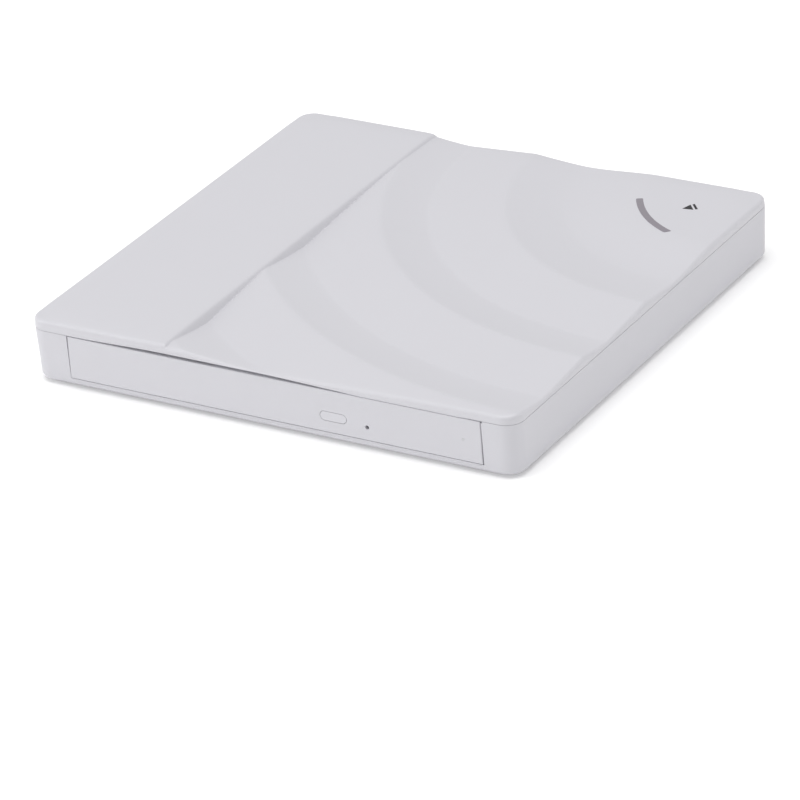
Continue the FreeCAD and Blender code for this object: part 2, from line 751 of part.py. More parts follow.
def make_power_jack():
    block = box("jack_block", ("jack_x - 3.2", "jack_x + 3.2"), ("jack_front", "jack_front + 9.4"),
                ("bridge_top", "jack_z + 2.9"))
    nose = rod("jack_nose", "jack_radius + 0.6", ("jack_x", "jack_front + 9", "jack_z"), "2.8", "y")
    bore = rod("jack_bore", "jack_radius", ("jack_x", "jack_bottom_of_bore", "jack_z"), "12", "y")
    keep(cut("power_jack", fuse("jack_outside", [block, nose]), [bore]), "power_jack")
    keep(rod("jack_pin", "jack_pin_radius", ("jack_x", "jack_bottom_of_bore", "jack_z"), "8.4", "y"),
         "jack_pin")


# ---- slim drive: fixed frame ----

drive_left = "drive_center - drive_width / 2"
drive_right = "drive_center + drive_width / 2"


def make_drive_case():
    body = new_body("pan_blank")
    outline = new_sketch(body, "pan_outline", "drive_bottom")
    rectangle(outline, (drive_left, drive_right), ("drive_front", "drive_back"))
    pad(body, outline, "drive_top - case_sheet - drive_bottom")
    inside = new_sketch(body, "pan_inside", "drive_top - case_sheet")
    rectangle(inside, (drive_left + " + case_sheet", drive_right + " - case_sheet"),
              ("drive_front - 1", "drive_back - case_sheet"))
    pocket(body, inside, "drive_top - 2 * case_sheet - drive_bottom")
    striker = rod("striker_pin", "striker_radius", ("striker_x", "striker_y", "drive_bottom + 0.1"), "2.4")
    mouth = box("pan_plug_mouth", ("sata_left + 0.4", "sata_right - 0.4"),
                ("drive_back - 1", "drive_back + 2"), ("bridge_top + 0.6", "bridge_top + 5"))
    keep(cut("drive_bottom_case", fuse("pan_with_striker", [body, striker]), [mouth]), "drive_bottom_case")
    lid = new_body("drive_top_case")
    sheet_outline = new_sketch(lid, "top_case_outline", "drive_top - case_sheet")
    rectangle(sheet_outline, (drive_left, drive_right), ("drive_front", "drive_back"))
    block = pad(lid, sheet_outline, "case_sheet")
    round_edges(lid, block, "1.5", upright)
    ring = new_sketch(lid, "top_case_press_ring", "drive_top")
    circle(ring, "drive_center", "spindle_y", "40")
    circle(ring, "drive_center", "spindle_y", "37")
    pocket(lid, ring, "0.2")
    keep(lid, "drive_top_case")
    plug_front = "tray_back - 0.6"
    keep(box("connector_board", ("sata_left - 3", "sata_right + 3"), (plug_front, "drive_back - 0.8"),
             ("bridge_top - 1.6", "bridge_top - 0.6")), "connector_board")
    keep(box("drive_sata_plug", ("sata_left + 1.5", "sata_right - 1.5"), (plug_front, "drive_back + 3.8"),
             ("bridge_top + 1.7", "bridge_top + 3.9")), "drive_sata_plug")
    pads = [box("pad_%d" % step, (x, x + " + 14"), (y, y + " + 10"), ("drive_top", "lid_ceiling - 0.02"))
            for step, (x, y) in enumerate((("-56", "-50"), ("40", "-50"), ("-56", "36"), ("16", "36")))]
    keep(group("foam_pads", pads), "foam_pads")
    across, top = ("ribbon_left", "ribbon_right"), "ribbon_upper + ribbon_film"
    ribbon = [box("ribbon_lower_run", across, ("ribbon_fold", "ribbon_lower_back"),
                  ("ribbon_bottom", "ribbon_bottom + ribbon_film")),
              box("ribbon_upper_run", across, ("ribbon_fold", "ribbon_upper_back"), ("ribbon_upper", top)),
              box("ribbon_turn", across, ("ribbon_fold - ribbon_film", "ribbon_fold"),
                  ("ribbon_bottom", top))]
    keep(fuse("flex_ribbon", ribbon), "flex_ribbon")


def side_values(side):
    """The case wall's inner face on one side, and the direction from it towards the middle."""
    if side == "left":
        return "(drive_center - drive_width / 2 + case_sheet)", "+"
    return "(drive_center + drive_width / 2 - case_sheet)", "-"


def side_limits(side, near, far):
    """X limits of a piece between two distances from the case wall's inner face."""
    wall, sign = side_values(side)
    limits = ("%s %s (%s)" % (wall, sign, near), "%s %s (%s)" % (wall, sign, far))
    return limits if side == "left" else limits[::-1]


def channel(name, side, near, depth, low, high, wall, ends):
    """A C-shaped rail whose mouth faces the tray."""
    web = box(name + "_web", side_limits(side, near, "%s + %s" % (near, wall)), ends, (low, high))
    sill = box(name + "_sill", side_limits(side, near, "%s + %s" % (near, depth)), ends,
               (low, "%s + %s" % (low, wall)))
    roof = box(name + "_roof", side_limits(side, near, "%s + %s" % (near, depth)), ends,
               ("%s - %s" % (high, wall), high))
    return fuse(name, [web, sill, roof])


def make_rails():
    """On each side a fixed outer channel, a sliding middle channel and a runner on the tray."""
    ends = ("rail_front", "rail_back")
    outer, runners = [], []
    for side in ("left", "right"):
        outer.append(channel("outer_rail_" + side, side, "0", "rail_depth", "rail_bottom", "rail_top",
                             "rail_wall", ends))
        middle = channel("middle_rail_" + side, side, "rail_wall + slide_gap", "rail_depth - 1",
                         "rail_bottom + rail_wall + slide_gap", "rail_top - rail_wall - slide_gap",
                         "middle_wall", ends)
        keep(middle, "middle_rail_" + side)
        near, far = "rail_wall + middle_wall + 2 * slide_gap", "(drive_width - keel_width) / 2 - case_sheet"
        runners.append(box("tray_runner_" + side, side_limits(side, near, far),
                           ("rail_front + 2", "rail_back"),
                           ("rail_bottom + rail_wall + 2 * slide_gap + middle_wall",
                            "rail_top - rail_wall - 2 * slide_gap - middle_wall")))
    keep(group("outer_rails", outer), "outer_rails")
    keep(group("tray_runners", runners), "tray_runners")


# ---- tray ----

keel_left = "(drive_center - keel_width / 2)"
keel_right = "(drive_center + keel_width / 2)"


def make_tray():
    body = new_body("tray_slab")
    outline = new_sketch(body, "tray_outline", "tray_slab")
    rectangle(outline, ("drive_center - tray_width / 2", "drive_center + tray_width / 2"),
              ("bezel_back", "tray_back"))
    slab = pad(body, outline, "tray_top - tray_slab")
    round_edges(body, slab, "2", lambda edge: upright(edge) and edge.CenterOfMass.y > 0)
    well = new_sketch(body, "tray_well", "tray_top")
    circle(well, "drive_center", "spindle_y", "well_radius")
    pocket(body, well, "tray_top - well_floor")
    small = new_sketch(body, "tray_small_well", "well_floor")
    circle(small, "drive_center", "spindle_y", "small_well_radius")
    pocket(body, small, "well_floor - small_well_floor")
    pieces = [body]
    keel_top = "tray_slab + 0.2"
    keel = ("keel_bottom", keel_top)
    pieces.append(box("keel_left", (keel_left, keel_left + " + keel_wall"), ("bezel_back", "tray_back - 1"),
                      keel))
    pieces.append(box("keel_right", (keel_right + " - keel_wall", keel_right),
                      ("bezel_back", "tray_back - 1"), keel))
    pieces.append(box("keel_front", (keel_left, keel_right), ("bezel_back", "bezel_back + keel_wall"),
                      keel))
    pieces.append(box("keel_back", (keel_left, "striker_x - 3"), ("tray_back - 2.5", "tray_back - 1"),
                      keel))
    posts = [("-50", "30"), ("-50", "44"), ("40", "24"), ("40", "44"), ("16", "-61")]
    for step, (x, y) in enumerate(posts):
        pieces.append(rod("tray_post_%d" % step, "1.4", (x, y, "board_top"), "tray_slab + 0.2 - board_top"))
    tools = [on_traverse(plate("tray_window", window_outline("0.6"), "tray_slab - 1", "4"))]
    for name, half_width, half_height in (("button", 4.4, 1.6), ("pinhole", 1.5, 1.5), ("lamp", 0.8, 0.8)):
        tools.append(box("tray_%s_window" % name,
                         ("%s_x - %s" % (name, half_width), "%s_x + %s" % (name, half_width)),
                         ("bezel_back - 1", "bezel_back + 3"),
                         ("%s_z - %s" % (name, half_height), "%s_z + %s" % (name, half_height))))
    tools.append(box("tray_finger_notch", ("drive_center - 11", "drive_center + 11"), ("47", "54"),
                     ("tray_slab - 1", "16")))
    keep(cut("disc_tray", fuse("tray_with_keel", pieces), tools), "disc_tray")


def window_outline(margin):
    """The opening over the spindle and the lens's path, in the traverse's frame."""
    wide, narrow = "(window_half + %s)" % margin, "(window_narrow + %s)" % margin
    far, shoulder = "0 - (window_far + %s)" % margin, "0 - window_shoulder"
    return [("0 - " + wide, wide), ("0 - " + wide, shoulder), ("0 - " + narrow, far),
            (narrow, far), (wide, shoulder), (wide, wide)]


def make_bezel():
    body = new_body("bezel_blank")
    outline = new_sketch(body, "bezel_outline", "bezel_bottom")
    rectangle(outline, (drive_left, drive_right), ("bezel_face", "bezel_back"))
    block = pad(body, outline, "bezel_top - bezel_bottom")
    face = size("bezel_face")
    round_edges(body, block, "0.3", lambda edge: edge.BoundBox.YMax < face + 0.01)
    hollow = box("bezel_hollow", (drive_left + " + 1.4", drive_right + " - 1.4"),
                 ("bezel_face + bezel_plate", "bezel_back + 1"),
                 ("bezel_bottom + 1.4", "bezel_top - 1.4"))
    tools = [hollow, make_stadium("bezel_button_hole", "button_gap", "bezel_face - 1", "bezel_plate + 2")]
    tools.append(rod("bezel_pinhole", "pinhole_radius", ("pinhole_x", "bezel_face - 1", "pinhole_z"), "4",
                     "y"))
    tools.append(rod("bezel_lamp_hole", "lamp_radius + fit_gap", ("lamp_x", "bezel_face - 1", "lamp_z"),
                     "4", "y"))
    keep(cut("front_bezel", body, tools), "front_bezel")
    lamp = [rod("lamp_light_pipe", "lamp_radius", ("lamp_x", "bezel_face", "lamp_z"), "4.8", "y"),
            rod("lamp_collar", "0.7", ("lamp_x", "bezel_face + bezel_plate", "lamp_z"), "1.5", "y")]
    keep(fuse("activity_lamp", lamp), "activity_lamp")


def make_stadium(name, margin, start, length):
    """A long-round block standing out along Y at the button's place."""
    straight = "(button_length - button_height) / 2"
    radius = "button_height / 2 + (%s)" % margin
    pieces = [box(name + "_middle", ("button_x - " + straight, "button_x + " + straight),
                  (start, "(%s) + (%s)" % (start, length)),
                  ("button_z - (%s)" % radius, "button_z + (%s)" % radius))]
    for side, sign in (("left", "-"), ("right", "+")):
        pieces.append(rod(name + "_" + side, radius,
                          ("button_x %s %s" % (sign, straight), start, "button_z"), length, "y"))
    return fuse(name, pieces)


def make_button():
    cap = make_stadium("button_cap", "0", "bezel_face", "bezel_plate + 0.2")
    flange = make_stadium("button_flange", "0.5", "bezel_face + bezel_plate + 0.05", "0.8")
    stem = box("button_stem", ("button_x - 1", "button_x + 1"), ("bezel_face + bezel_plate", "-67.2"),
               ("button_z - 0.8", "button_z + 0.8"))
    keep(fuse("eject_button", [cap, flange, stem]), "eject_button")
    keep(box("button_switch", ("button_x - 2.5", "button_x + 2.5"), ("-66.4", "-63"),
             ("board_top", "board_top + 2.4")), "button_switch")
    keep(box("front_board", ("button_x - 6", "button_x + 4.8"), ("-66.8", "-59"),
             ("board_bottom", "board_top")), "front_board")


def make_tray_plate_and_board():
    slot_low, slot_high = "striker_x - striker_radius - 0.6", "striker_x + striker_radius + 0.6"
    outline = [(keel_left, "bezel_back + 1"), (keel_right, "bezel_back + 1"), (keel_right, "tray_back - 1"),
               (slot_high, "tray_back - 1"), (slot_high, "striker_y - 3"), (slot_low, "striker_y - 3"),
               (slot_low, "tray_back - 1"), (keel_left, "tray_back - 1")]
    keep(plate("tray_bottom_plate", outline, "tray_plate_bottom", "keel_bottom - tray_plate_bottom"),
         "tray_bottom_plate")
    board = [("-54", "26"), ("-22", "26"), ("-8", "12"), ("8", "12"), ("18", "20"), ("44", "20"),
             ("44", "48"), ("-54", "48")]
    keep(plate("main_board", board, "board_bottom", "board_top - board_bottom"), "main_board")
    chips = [box("main_chip_0", ("-6", "8"), ("24", "38"), ("board_top", "8.4")),
             box("main_chip_1", ("16", "26"), ("28", "36"), ("board_top", "8.2")),
             box("main_chip_2", ("-34", "-26"), ("30", "36"), ("board_top", "8.2")),
             box("ribbon_socket", ("-31", "-7"), ("42", "46"), ("board_top", "8.6"))]
    keep(group("controller_chips", chips), "controller_chips")


def make_traverse():
    outline = [("-23.5", "18"), ("-23.5", "-52"), ("-15", "-64.5"), ("15", "-64.5"), ("23.5", "-52"),
               ("23.5", "18")]
    path = [("-11", "-8"), ("-11", "-62.6"), ("11", "-62.6"), ("11", "-8")]
    body = new_body("traverse_blank")
    sketch = new_sketch(body, "traverse_outline", "plate_bottom")
    polygon(sketch, outline)
    for x, y in damper_points():
        circle(sketch, x, y, "1.6")
    pad(body, sketch, "plate_top - plate_bottom")
    hole = new_sketch(body, "traverse_spindle_hole", "plate_top")
    circle(hole, "0", "0", "turntable_radius + 0.8")
    pocket(body, hole, "2")
    opening = new_sketch(body, "traverse_lens_path", "plate_top")
    polygon(opening, path)
    pocket(body, opening, "2")
    pieces = [body]
    for side, x in (("left", "0 - rod_offset"), ("right", "rod_offset")):
        for end, low, high in (("far", "-64.4", "-63"), ("near", "-12.7", "-11.3")):
            pieces.append(box("rod_block_%s_%s" % (side, end), (x + " - 1.4", x + " + 1.4"), (low, high),
                              ("7.2", "plate_bottom + 0.2")))
    pieces.append(box("lead_block", ("screw_offset - 1.4", "screw_offset + 1.3"), ("-57.5", "-56.1"),
                      ("7.2", "plate_bottom + 0.2")))
    pieces.append(box("motor_bridge_left", ("-15.2", "-12"), ("-4", "8"), ("6.2", "plate_bottom + 0.2")))
    pieces.append(box("motor_bridge_right", ("12", "14.2"), ("0", "8"), ("6.2", "plate_bottom + 0.2")))
    keep(on_traverse(fuse("traverse_plate", pieces)), "traverse_plate")
    dampers, screws = [], []
    for step, (x, y) in enumerate(damper_points()):
        profile = [("0.85", "10.4"), ("2.3", "10.4"), ("2.3", "plate_bottom"), ("1.55", "plate_bottom"),
                   ("1.55", "plate_top"), ("2.3", "plate_top"), ("2.3", "tray_slab"), ("0.85", "tray_slab")]
        dampers.append(turned("damper_%d" % step, profile, x, y))
        pin = [("0", "10.05"), ("1.7", "10.05"), ("1.7", "10.38"), ("0.75", "10.38"), ("0.75", "12.28"),
               ("0", "12.28")]
        screws.append(turned("damper_screw_%d" % step, pin, x, y))
    keep(on_traverse(group("traverse_dampers", dampers)), "traverse_dampers")
    keep(on_traverse(group("damper_screws", screws)), "damper_screws")
    rods = [rod("guide_rod_%d" % step, "rod_radius", (x, "rod_far + 0.02", "rod_height"),
                "rod_near - rod_far - 0.04", "y")
            for step, x in enumerate(("0 - rod_offset", "rod_offset"))]
    keep(on_traverse(group("guide_rods", rods)), "guide_rods")
    cover = new_body("cover_blank")
    face = new_sketch(cover, "cover_outline", "plate_top + 0.5")
    polygon(face, window_outline("0"))
    circle(face, "0", "0", "turntable_radius + 1")
    pad(cover, face, "0.4")
    lens_path = new_sketch(cover, "cover_lens_path", "plate_top + 0.9")
    rectangle(lens_path, ("-8", "8"), ("-63", "-13"))
    pocket(cover, lens_path, "1")
    feet = [box("cover_foot_%d" % step, (x, x + " + 3"), (y, y + " + 3"), ("plate_top", "plate_top + 0.6"))
            for step, (x, y) in enumerate((("-16", "-50"), ("13", "-50"), ("-16", "13.5"), ("13", "13.5")))]
    keep(on_traverse(fuse("traverse_cover", [cover] + feet)), "traverse_cover")
    stator = [rod("stator_base", "motor_radius", ("0", "0", "6.0"), "0.8"),
              rod("stator_core", "9.4", ("0", "0", "6.7"), "2.6")]
    bore = rod("stator_bore", "1.5 + running_gap", ("0", "0", "5.9"), "5")
    keep(on_traverse(cut("spindle_stator", fuse("stator_body", stator), [bore])), "spindle_stator")
    motor = box("motor_can", ("14.9", "22.1"), ("-14", "-3"), ("6.2", "plate_bottom"))
    keep(on_traverse(group("feed_motor", [motor])), "feed_motor")


def damper_points():
    return [(x, y) for x in ("-20.5", "20.5") for y in ("-46", "12")]


def make_spindle():
    disc_top = "disc_rest - 0.3"
    profile = [("0", "6.4"), ("1.5", "6.4"), ("1.5", "9.8"), ("10", "9.8"), ("10", "7.4"),
               ("rotor_radius", "7.4"), ("rotor_radius", "11.6"), ("turntable_radius", "12.3"),
               ("turntable_radius", disc_top), ("hub_radius", disc_top), ("hub_radius", "hub_top - 0.5"),
               ("hub_radius - 0.6", "hub_top"), ("0", "hub_top")]
    rotor = turned("rotor_blank", profile)
    tools = []
    for step in range(3):
        slot = box("claw_slot_%d" % step, ("2.8", "hub_radius + 1"), ("-1.5", "1.5"), ("disc_rest", "16"))
        tools.append(around(slot, step))
    keep(at_spindle(cut("turntable", rotor, tools)), "turntable")
    pad_edge = "turntable_radius - 0.3"
    section = [("9", disc_top), (pad_edge, disc_top), (pad_edge, "disc_rest"), ("9", "disc_rest")]
    keep(turned("disc_ring", section, "drive_center", "spindle_y"), "turntable_ring")
    for step in range(3):
        body = new_body("claw_%d" % (step + 1))
        outline = new_sketch(body, "claw_outline_%d" % step, "-1.2", "XZ_Plane")
        polygon(outline, [("3.7", "disc_rest + 0.2"), ("7.5", "disc_rest + 0.2"),
                          ("7.9", "disc_rest + 0.6"), ("7", "hub_top - 0.1"), ("3.7", "hub_top - 0.1")])
        pad(body, outline, "2.4")
        claw = around(body, step)
        place(claw, "drive_center", "spindle_y")
        keep(claw, "hub_claw_%d" % (step + 1))


def around(item, step):
    """Turn a piece to its third of the hub."""
    item.Placement = FreeCAD.Placement(item.Placement.Base,
                                       FreeCAD.Rotation(FreeCAD.Vector(0, 0, 1), 90 + 120 * step))
    if item.TypeId == "Part::Box":
        offset = item.Placement.Rotation.multVec(FreeCAD.Vector(2.8, -1.5, 0))
        place(item, "%.6f" % offset.x, "%.6f" % offset.y, "disc_rest")
    return item


def at_spindle(item):
    place(item, "drive_center", "spindle_y")
    return item


def make_pickup():
    """The sled at its innermost place, with the lens lens_inner from the spindle."""
    near, far = "7.5 - lens_inner", "-4.5 - lens_inner"
    block = box("sled_block", ("-16", "16"), (far, near), ("6.4", "10.9"))
    arm = box("sled_arm", ("15", "16.9"), ("3.5 - lens_inner", near), ("7.2", "10"))
    pit = box("sled_pit", ("-6.4", "6.4"), (far + " - 1", "4.4 - lens_inner"), ("8", "12"))
    tools = [pit]
    for step, x in enumerate(("0 - rod_offset", "rod_offset")):
        tools.append(rod("sled_bore_%d" % step, "rod_radius + running_gap", (x, far + " - 2", "rod_height"),
                         "16", "y"))
    keep(on_traverse(cut("pickup_sled", fuse("sled_outside", [block, arm]), tools)), "pickup_sled")
    holder = box("holder_block", ("-5", "5"), ("-3.8 - lens_inner", "3.8 - lens_inner"), ("9.6", "11.8"))
    collar = rod("holder_collar", "2.6", ("0", "0 - lens_inner", "11.7"), "0.5")
    seat = rod("holder_bore", "1.9", ("0", "0 - lens_inner", "8"), "6")
    keep(on_traverse(cut("lens_holder", fuse("holder_outside", [holder, collar]), [seat])), "lens_holder")
    lens = turned("lens_glass",
                  [("0", "10.8"), ("1.88", "10.8"), ("1.88", "12"), ("1.3", "12.35"), ("0", "12.45")],
                  "0", "0 - lens_inner")
    keep(on_traverse(group("objective_lens", [lens])), "objective_lens")
    thread = rod("lead_thread", "lead_radius", ("screw_offset", "-56", "rod_height"), "41.8", "y")
    keep(on_traverse(group("lead_screw", [thread])), "lead_screw")


def make_latch():
    body = new_body("latch_blank")
    outline = new_sketch(body, "latch_outline", "latch_bottom")
    points = [("-1.6", "-2.2"), ("3.4", "-2.2"), ("3.4", "-0.8"), ("1.6", "1.5"), ("1.6", "11.5"),
              ("5.9", "11.5"), ("5.9", "13.4"), ("4.6", "14.4"), ("-1.4", "14.4"), ("-1.6", "1.5")]
    polygon(outline, points)
    pad(body, outline, "latch_top - latch_bottom")
    place(body, "latch_x", "latch_y")
    ring = rod("latch_hub", "2.6", ("latch_x", "latch_y", "latch_bottom"), "2")
    post = rod("latch_post", "0.9", ("latch_x", "latch_y + link_along", "latch_bottom"), "3.4")
    tail = box("latch_tail", ("latch_x + 1.6", "latch_x + 3.4"), ("latch_y - 2.2", "latch_y - 1"),
               ("latch_bottom", "9"))
    bore = rod("latch_bore", "1 + running_gap", ("latch_x", "latch_y", "5"), "6")
    keep(cut("latch_lever", fuse("latch_outside", [body, ring, post, tail]), [bore]), "latch_lever")
    keep(rod("latch_axle", "1", ("latch_x", "latch_y", "keel_bottom"), "4.6"), "latch_axle")
    coil = box("solenoid_frame", ("8", "20"), ("-53", "-45"), ("keel_bottom", "10.8"))
    bore = rod("solenoid_bore", "1.1", ("10", "latch_y + link_along", "link_height"), "14", "x")
    keep(cut("solenoid", coil, [bore]), "solenoid")
    plunger = rod("plunger_rod", "1", ("13", "latch_y + link_along", "link_height"),
                  "latch_x - 1.2 - 13", "x")
    keep(plunger, "solenoid_plunger")
    housing = box("ejector_block", ("ejector_x - 3", "ejector_x + 3"), ("20", "49"),
                  ("board_bottom", "tray_slab"))
    bore = rod("ejector_bore", "2", ("ejector_x", "22", "ejector_z"), "25", "y")
    neck = rod("ejector_neck", "ejector_radius + 0.1", ("ejector_x", "40", "ejector_z"), "12", "y")
    keep(cut("ejector_housing", housing, [bore, neck]), "ejector_housing")
    head = rod("ejector_head", "1.85", ("ejector_x", "ejector_rest", "ejector_z"), "1.2", "y")
    shank = rod("ejector_shank", "ejector_radius", ("ejector_x", "ejector_rest", "ejector_z"), "23.2", "y")
    keep(fuse("ejector_rod", [head, shank]), "ejector_rod")
    spring_outside = rod("spring_outside", "1.8", ("ejector_x", "22.1", "ejector_z"), "7.2", "y")
    spring_inside = rod("spring_inside", "1.35", ("ejector_x", "21", "ejector_z"), "10", "y")
    keep(cut("ejector_spring", spring_outside, [spring_inside]), "ejector_spring")


def check_and_write():
    """Stop on any failed object or bad solid, then write one file for each sub-part."""
    document.recompute()
    failed = [item.Name for item in document.Objects if "Invalid" in item.State or "Error" in item.State]
    if failed:
        raise ValueError("failed objects: " + ", ".join(failed))
    for item in nodes:
        if item.Shape.isNull() or not item.Shape.isValid() or not item.Shape.Solids:
            raise ValueError("bad shape: " + item.Label)
    os.makedirs("parts", exist_ok=True)
    for item in nodes:
        item.Shape.exportStep("parts/%s.step" % item.Label)
        limits = item.Shape.BoundBox
        print("%-22s %2d solids %9.1f mm3  x %6.1f %6.1f  y %6.1f %6.1f  z %5.2f %5.2f" % (
            item.Label, len(item.Shape.Solids), item.Shape.Volume, limits.XMin, limits.XMax,
            limits.YMin, limits.YMax, limits.ZMin, limits.ZMax))
    print(len(nodes), "sub-parts")


make_top_cover()
make_base_shell()
make_feet_and_screws()
make_touch_key()
make_bridge()
make_drive_case()
make_rails()
make_tray()
make_bezel()
make_button()
make_tray_plate_and_board()
make_traverse()
make_spindle()
make_pickup()
make_latch()
check_and_write()
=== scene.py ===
import json
import math

import bmesh
import bpy
from mathutils import Matrix, Vector


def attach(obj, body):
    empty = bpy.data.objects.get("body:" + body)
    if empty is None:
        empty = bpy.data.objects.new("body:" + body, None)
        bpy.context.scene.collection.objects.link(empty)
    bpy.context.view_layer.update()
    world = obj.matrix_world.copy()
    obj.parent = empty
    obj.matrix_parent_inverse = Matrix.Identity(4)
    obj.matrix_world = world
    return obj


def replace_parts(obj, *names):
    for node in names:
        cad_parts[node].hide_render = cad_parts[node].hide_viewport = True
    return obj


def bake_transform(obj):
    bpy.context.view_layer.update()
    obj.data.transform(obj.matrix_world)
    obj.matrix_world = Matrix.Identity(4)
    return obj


# The looks of an external optical drive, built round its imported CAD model. Everything is in metres, except
# the profiles and places of the small pieces, which are in millimetres until they are scaled.

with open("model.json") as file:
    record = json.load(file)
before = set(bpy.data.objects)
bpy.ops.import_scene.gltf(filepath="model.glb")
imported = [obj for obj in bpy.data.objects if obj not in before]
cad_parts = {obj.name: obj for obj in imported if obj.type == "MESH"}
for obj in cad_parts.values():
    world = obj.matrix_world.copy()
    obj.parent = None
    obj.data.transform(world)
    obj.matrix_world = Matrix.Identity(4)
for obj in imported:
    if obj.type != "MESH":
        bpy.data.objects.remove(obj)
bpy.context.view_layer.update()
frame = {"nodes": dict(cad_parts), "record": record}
MM = 0.001

# enclosure, as in the CAD model
HALF_WIDTH = 75.5 * MM
HALF_DEPTH = 73.0 * MM
CORNER_RADIUS = 5.0 * MM
DRAFT = math.tan(math.radians(1.7))
PARTING = 16.0 * MM
PLATEAU = 19.5 * MM

# lid: its edge, the dip of its face towards the edge, its wall and its ceiling
LID_EDGE = 1.0 * MM
LID_DIP = 0.15 * MM
LID_DIP_FAR = 0.65 * MM
LID_DIP_SHARE = 0.35
LID_DIP_REACH = 7.0 * MM
LID_DIP_CORNER = 12.0 * MM
LID_LEAST_WALL = 0.2 * MM
LID_WALL = 2.2 * MM
LID_THICKNESS = 1.0 * MM
LID_CEILING = 16.45 * MM

# lid's lower rim: the gap under it, its bow and its sinking over the tray's mouth, and its rounding, given as
# insets and lifts
RIM_GAP = 0.04 * MM
RIM_BOW = 0.66 * MM
RIM_SINK = 0.12 * MM
RIM_ROUNDING = ((0.0, 0.12 * MM), (0.05 * MM, 0.03 * MM), (0.12 * MM, 0.0))

# rings of the lid about its back right corner
RING_CENTER = Vector((75.1 * MM, 73.1 * MM))
RING_FIRST = 73.6 * MM
RING_PITCH = 34.6 * MM
RING_STEP = 0.7 * MM
RING_DEPTH = 1.75 * MM
RING_TROUGH = 0.62
RING_SWELL = 1.3
RING_INNER_REACH = 16.5 * MM
RING_CALM = 33.5 * MM
CREST_SOFTNESS = 0.06
TOUCH_FACE = PLATEAU - RING_STEP
STRIP_EDGE = -31.6 * MM
STRIP_FALL = 1.8
STRIP_SOFTNESS = 0.5 * MM
CALM_STEP = 0.6 * MM

# touch key: the curved light guide and the eject mark, a triangle and a bar
GUIDE_INNER = 35.08 * MM
GUIDE_OUTER = 37.03 * MM
GUIDE_START = math.radians(208.3)
GUIDE_SWEEP = math.radians(37.2)
GUIDE_SLANT = 0.9 * MM
GUIDE_CORNER = 0.55 * MM
GUIDE_DEPTH = 0.9 * MM
GUIDE_LIFT = 0.025 * MM
GUIDE_EDGE = 0.03 * MM
MARK_PLACE = Vector((59.1 * MM, 56.0 * MM))
MARK_TURN = math.radians(41)
MARK_HALF = 1.75 * MM
MARK_TIP = -2.2 * MM
MARK_BASE = 0.6 * MM
MARK_BAR = (1.15 * MM, 1.85 * MM)
MARK_CORNER = 0.12 * MM
MARK_DEPTH = 0.3 * MM
MARK_LIFT = 0.02 * MM
MARK_EDGE = 0.02 * MM

# small pieces, in millimetres: the spindle's place, and a turned shape's radius where it meets its axis
SPINDLE_X = 1.0
SPINDLE_Y = -7.5
AXIS = 0.02

# camera
CAMERA_LENS = 237.45
CAMERA_SHIFT = 0.032
CAMERA_AIM = Vector((-1.5, -18.43, -17.42)) * MM
CAMERA_AZIMUTH = 32.64
CAMERA_ELEVATION = 27.22
CAMERA_ROLL = math.radians(-4.65)
CAMERA_DISTANCE = 1447.4 * MM


# ---- mesh helpers ----

def loose_piece(name, verts, faces, slot, smooth=35.0):
    """A mesh object from points and faces, finished with a slot's material."""
    mesh = bpy.data.meshes.new(name)
    mesh.from_pydata([tuple(v) for v in verts], [], faces)
    mesh.validate()
    outward(mesh)
    mesh.shade_smooth()
    mesh.set_sharp_from_angle(angle=math.radians(smooth))
    mesh.materials.append(materials[slot])
    piece = bpy.data.objects.new(name, mesh)
    bpy.context.scene.collection.objects.link(piece)
    return piece


def make_piece(name, verts, faces, slot, body, smooth=35.0):
    """A mesh object that rides on a body."""
    piece = loose_piece(name, verts, faces, slot, smooth)
    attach(piece, body)
    return piece


def outward(mesh):
    """Turn every face outwards."""
    work = bmesh.new()
    work.from_mesh(mesh)
    bmesh.ops.recalc_face_normals(work, faces=work.faces)
    work.to_mesh(mesh)
    work.free()


def prism(outline, low, high, edge, steps=3):
    """Points and faces of an upright block over an anticlockwise outline, with a rounded top rim."""
    count = len(outline)
    levels = [(low, 0.0), (high - edge, 0.0)]
    for step in range(1, steps + 1):
        turn = math.pi / 2 * step / steps
        levels.append((high - edge + edge * math.sin(turn), edge * (1 - math.cos(turn))))
    rows = []
    for z, inset in levels:
        row = []
        for index, point in enumerate(outline):
            along = outline[(index + 1) % count] - outline[index - 1]
            normal = Vector((along.y, -along.x)).normalized()
            row.append(Vector((*(point - normal * inset), z)))
        rows.append(row)
    return skinned(rows)


def combined(shapes):
    """The points and faces of several shapes as one."""
    verts, faces = [], []
    for more_verts, more_faces in shapes:
        faces += [tuple(index + len(verts) for index in face) for face in more_faces]
        verts += more_verts
    return verts, faces


def skinned(rows):
    """Points and faces through rows of points, each row a ring, with the first and last ring closed off."""
    count = len(rows[0])
    verts = [point for row in rows for point in row]
    faces = []
    for here in range(0, len(verts) - count, count):
        for index in range(count):
            following = (index + 1) % count
            faces.append((here + index, here + following, here + count + following, here + count + index))
    faces.append(tuple(range(count)))
    faces.append(tuple(range(len(verts) - count, len(verts))))
    return verts, faces


def turned(profile, center, steps=40):
    """A shape turned about an upright axis, from rows of radius and height, and of flats where it has any."""
    rows = []
    for radius, height, *flats in profile:
        row = []
        for step in range(steps):
            turn = 2 * math.pi * step / steps
            reach = radius
            if flats:
                half = math.pi / flats[0]
                reach = radius * math.cos(half) / math.cos(turn % (2 * half) - half)
            x, y = center[0] + reach * math.cos(turn), center[1] + reach * math.sin(turn)
            row.append(Vector((x, y, height)) * MM)
        rows.append(row)
    return skinned(rows)


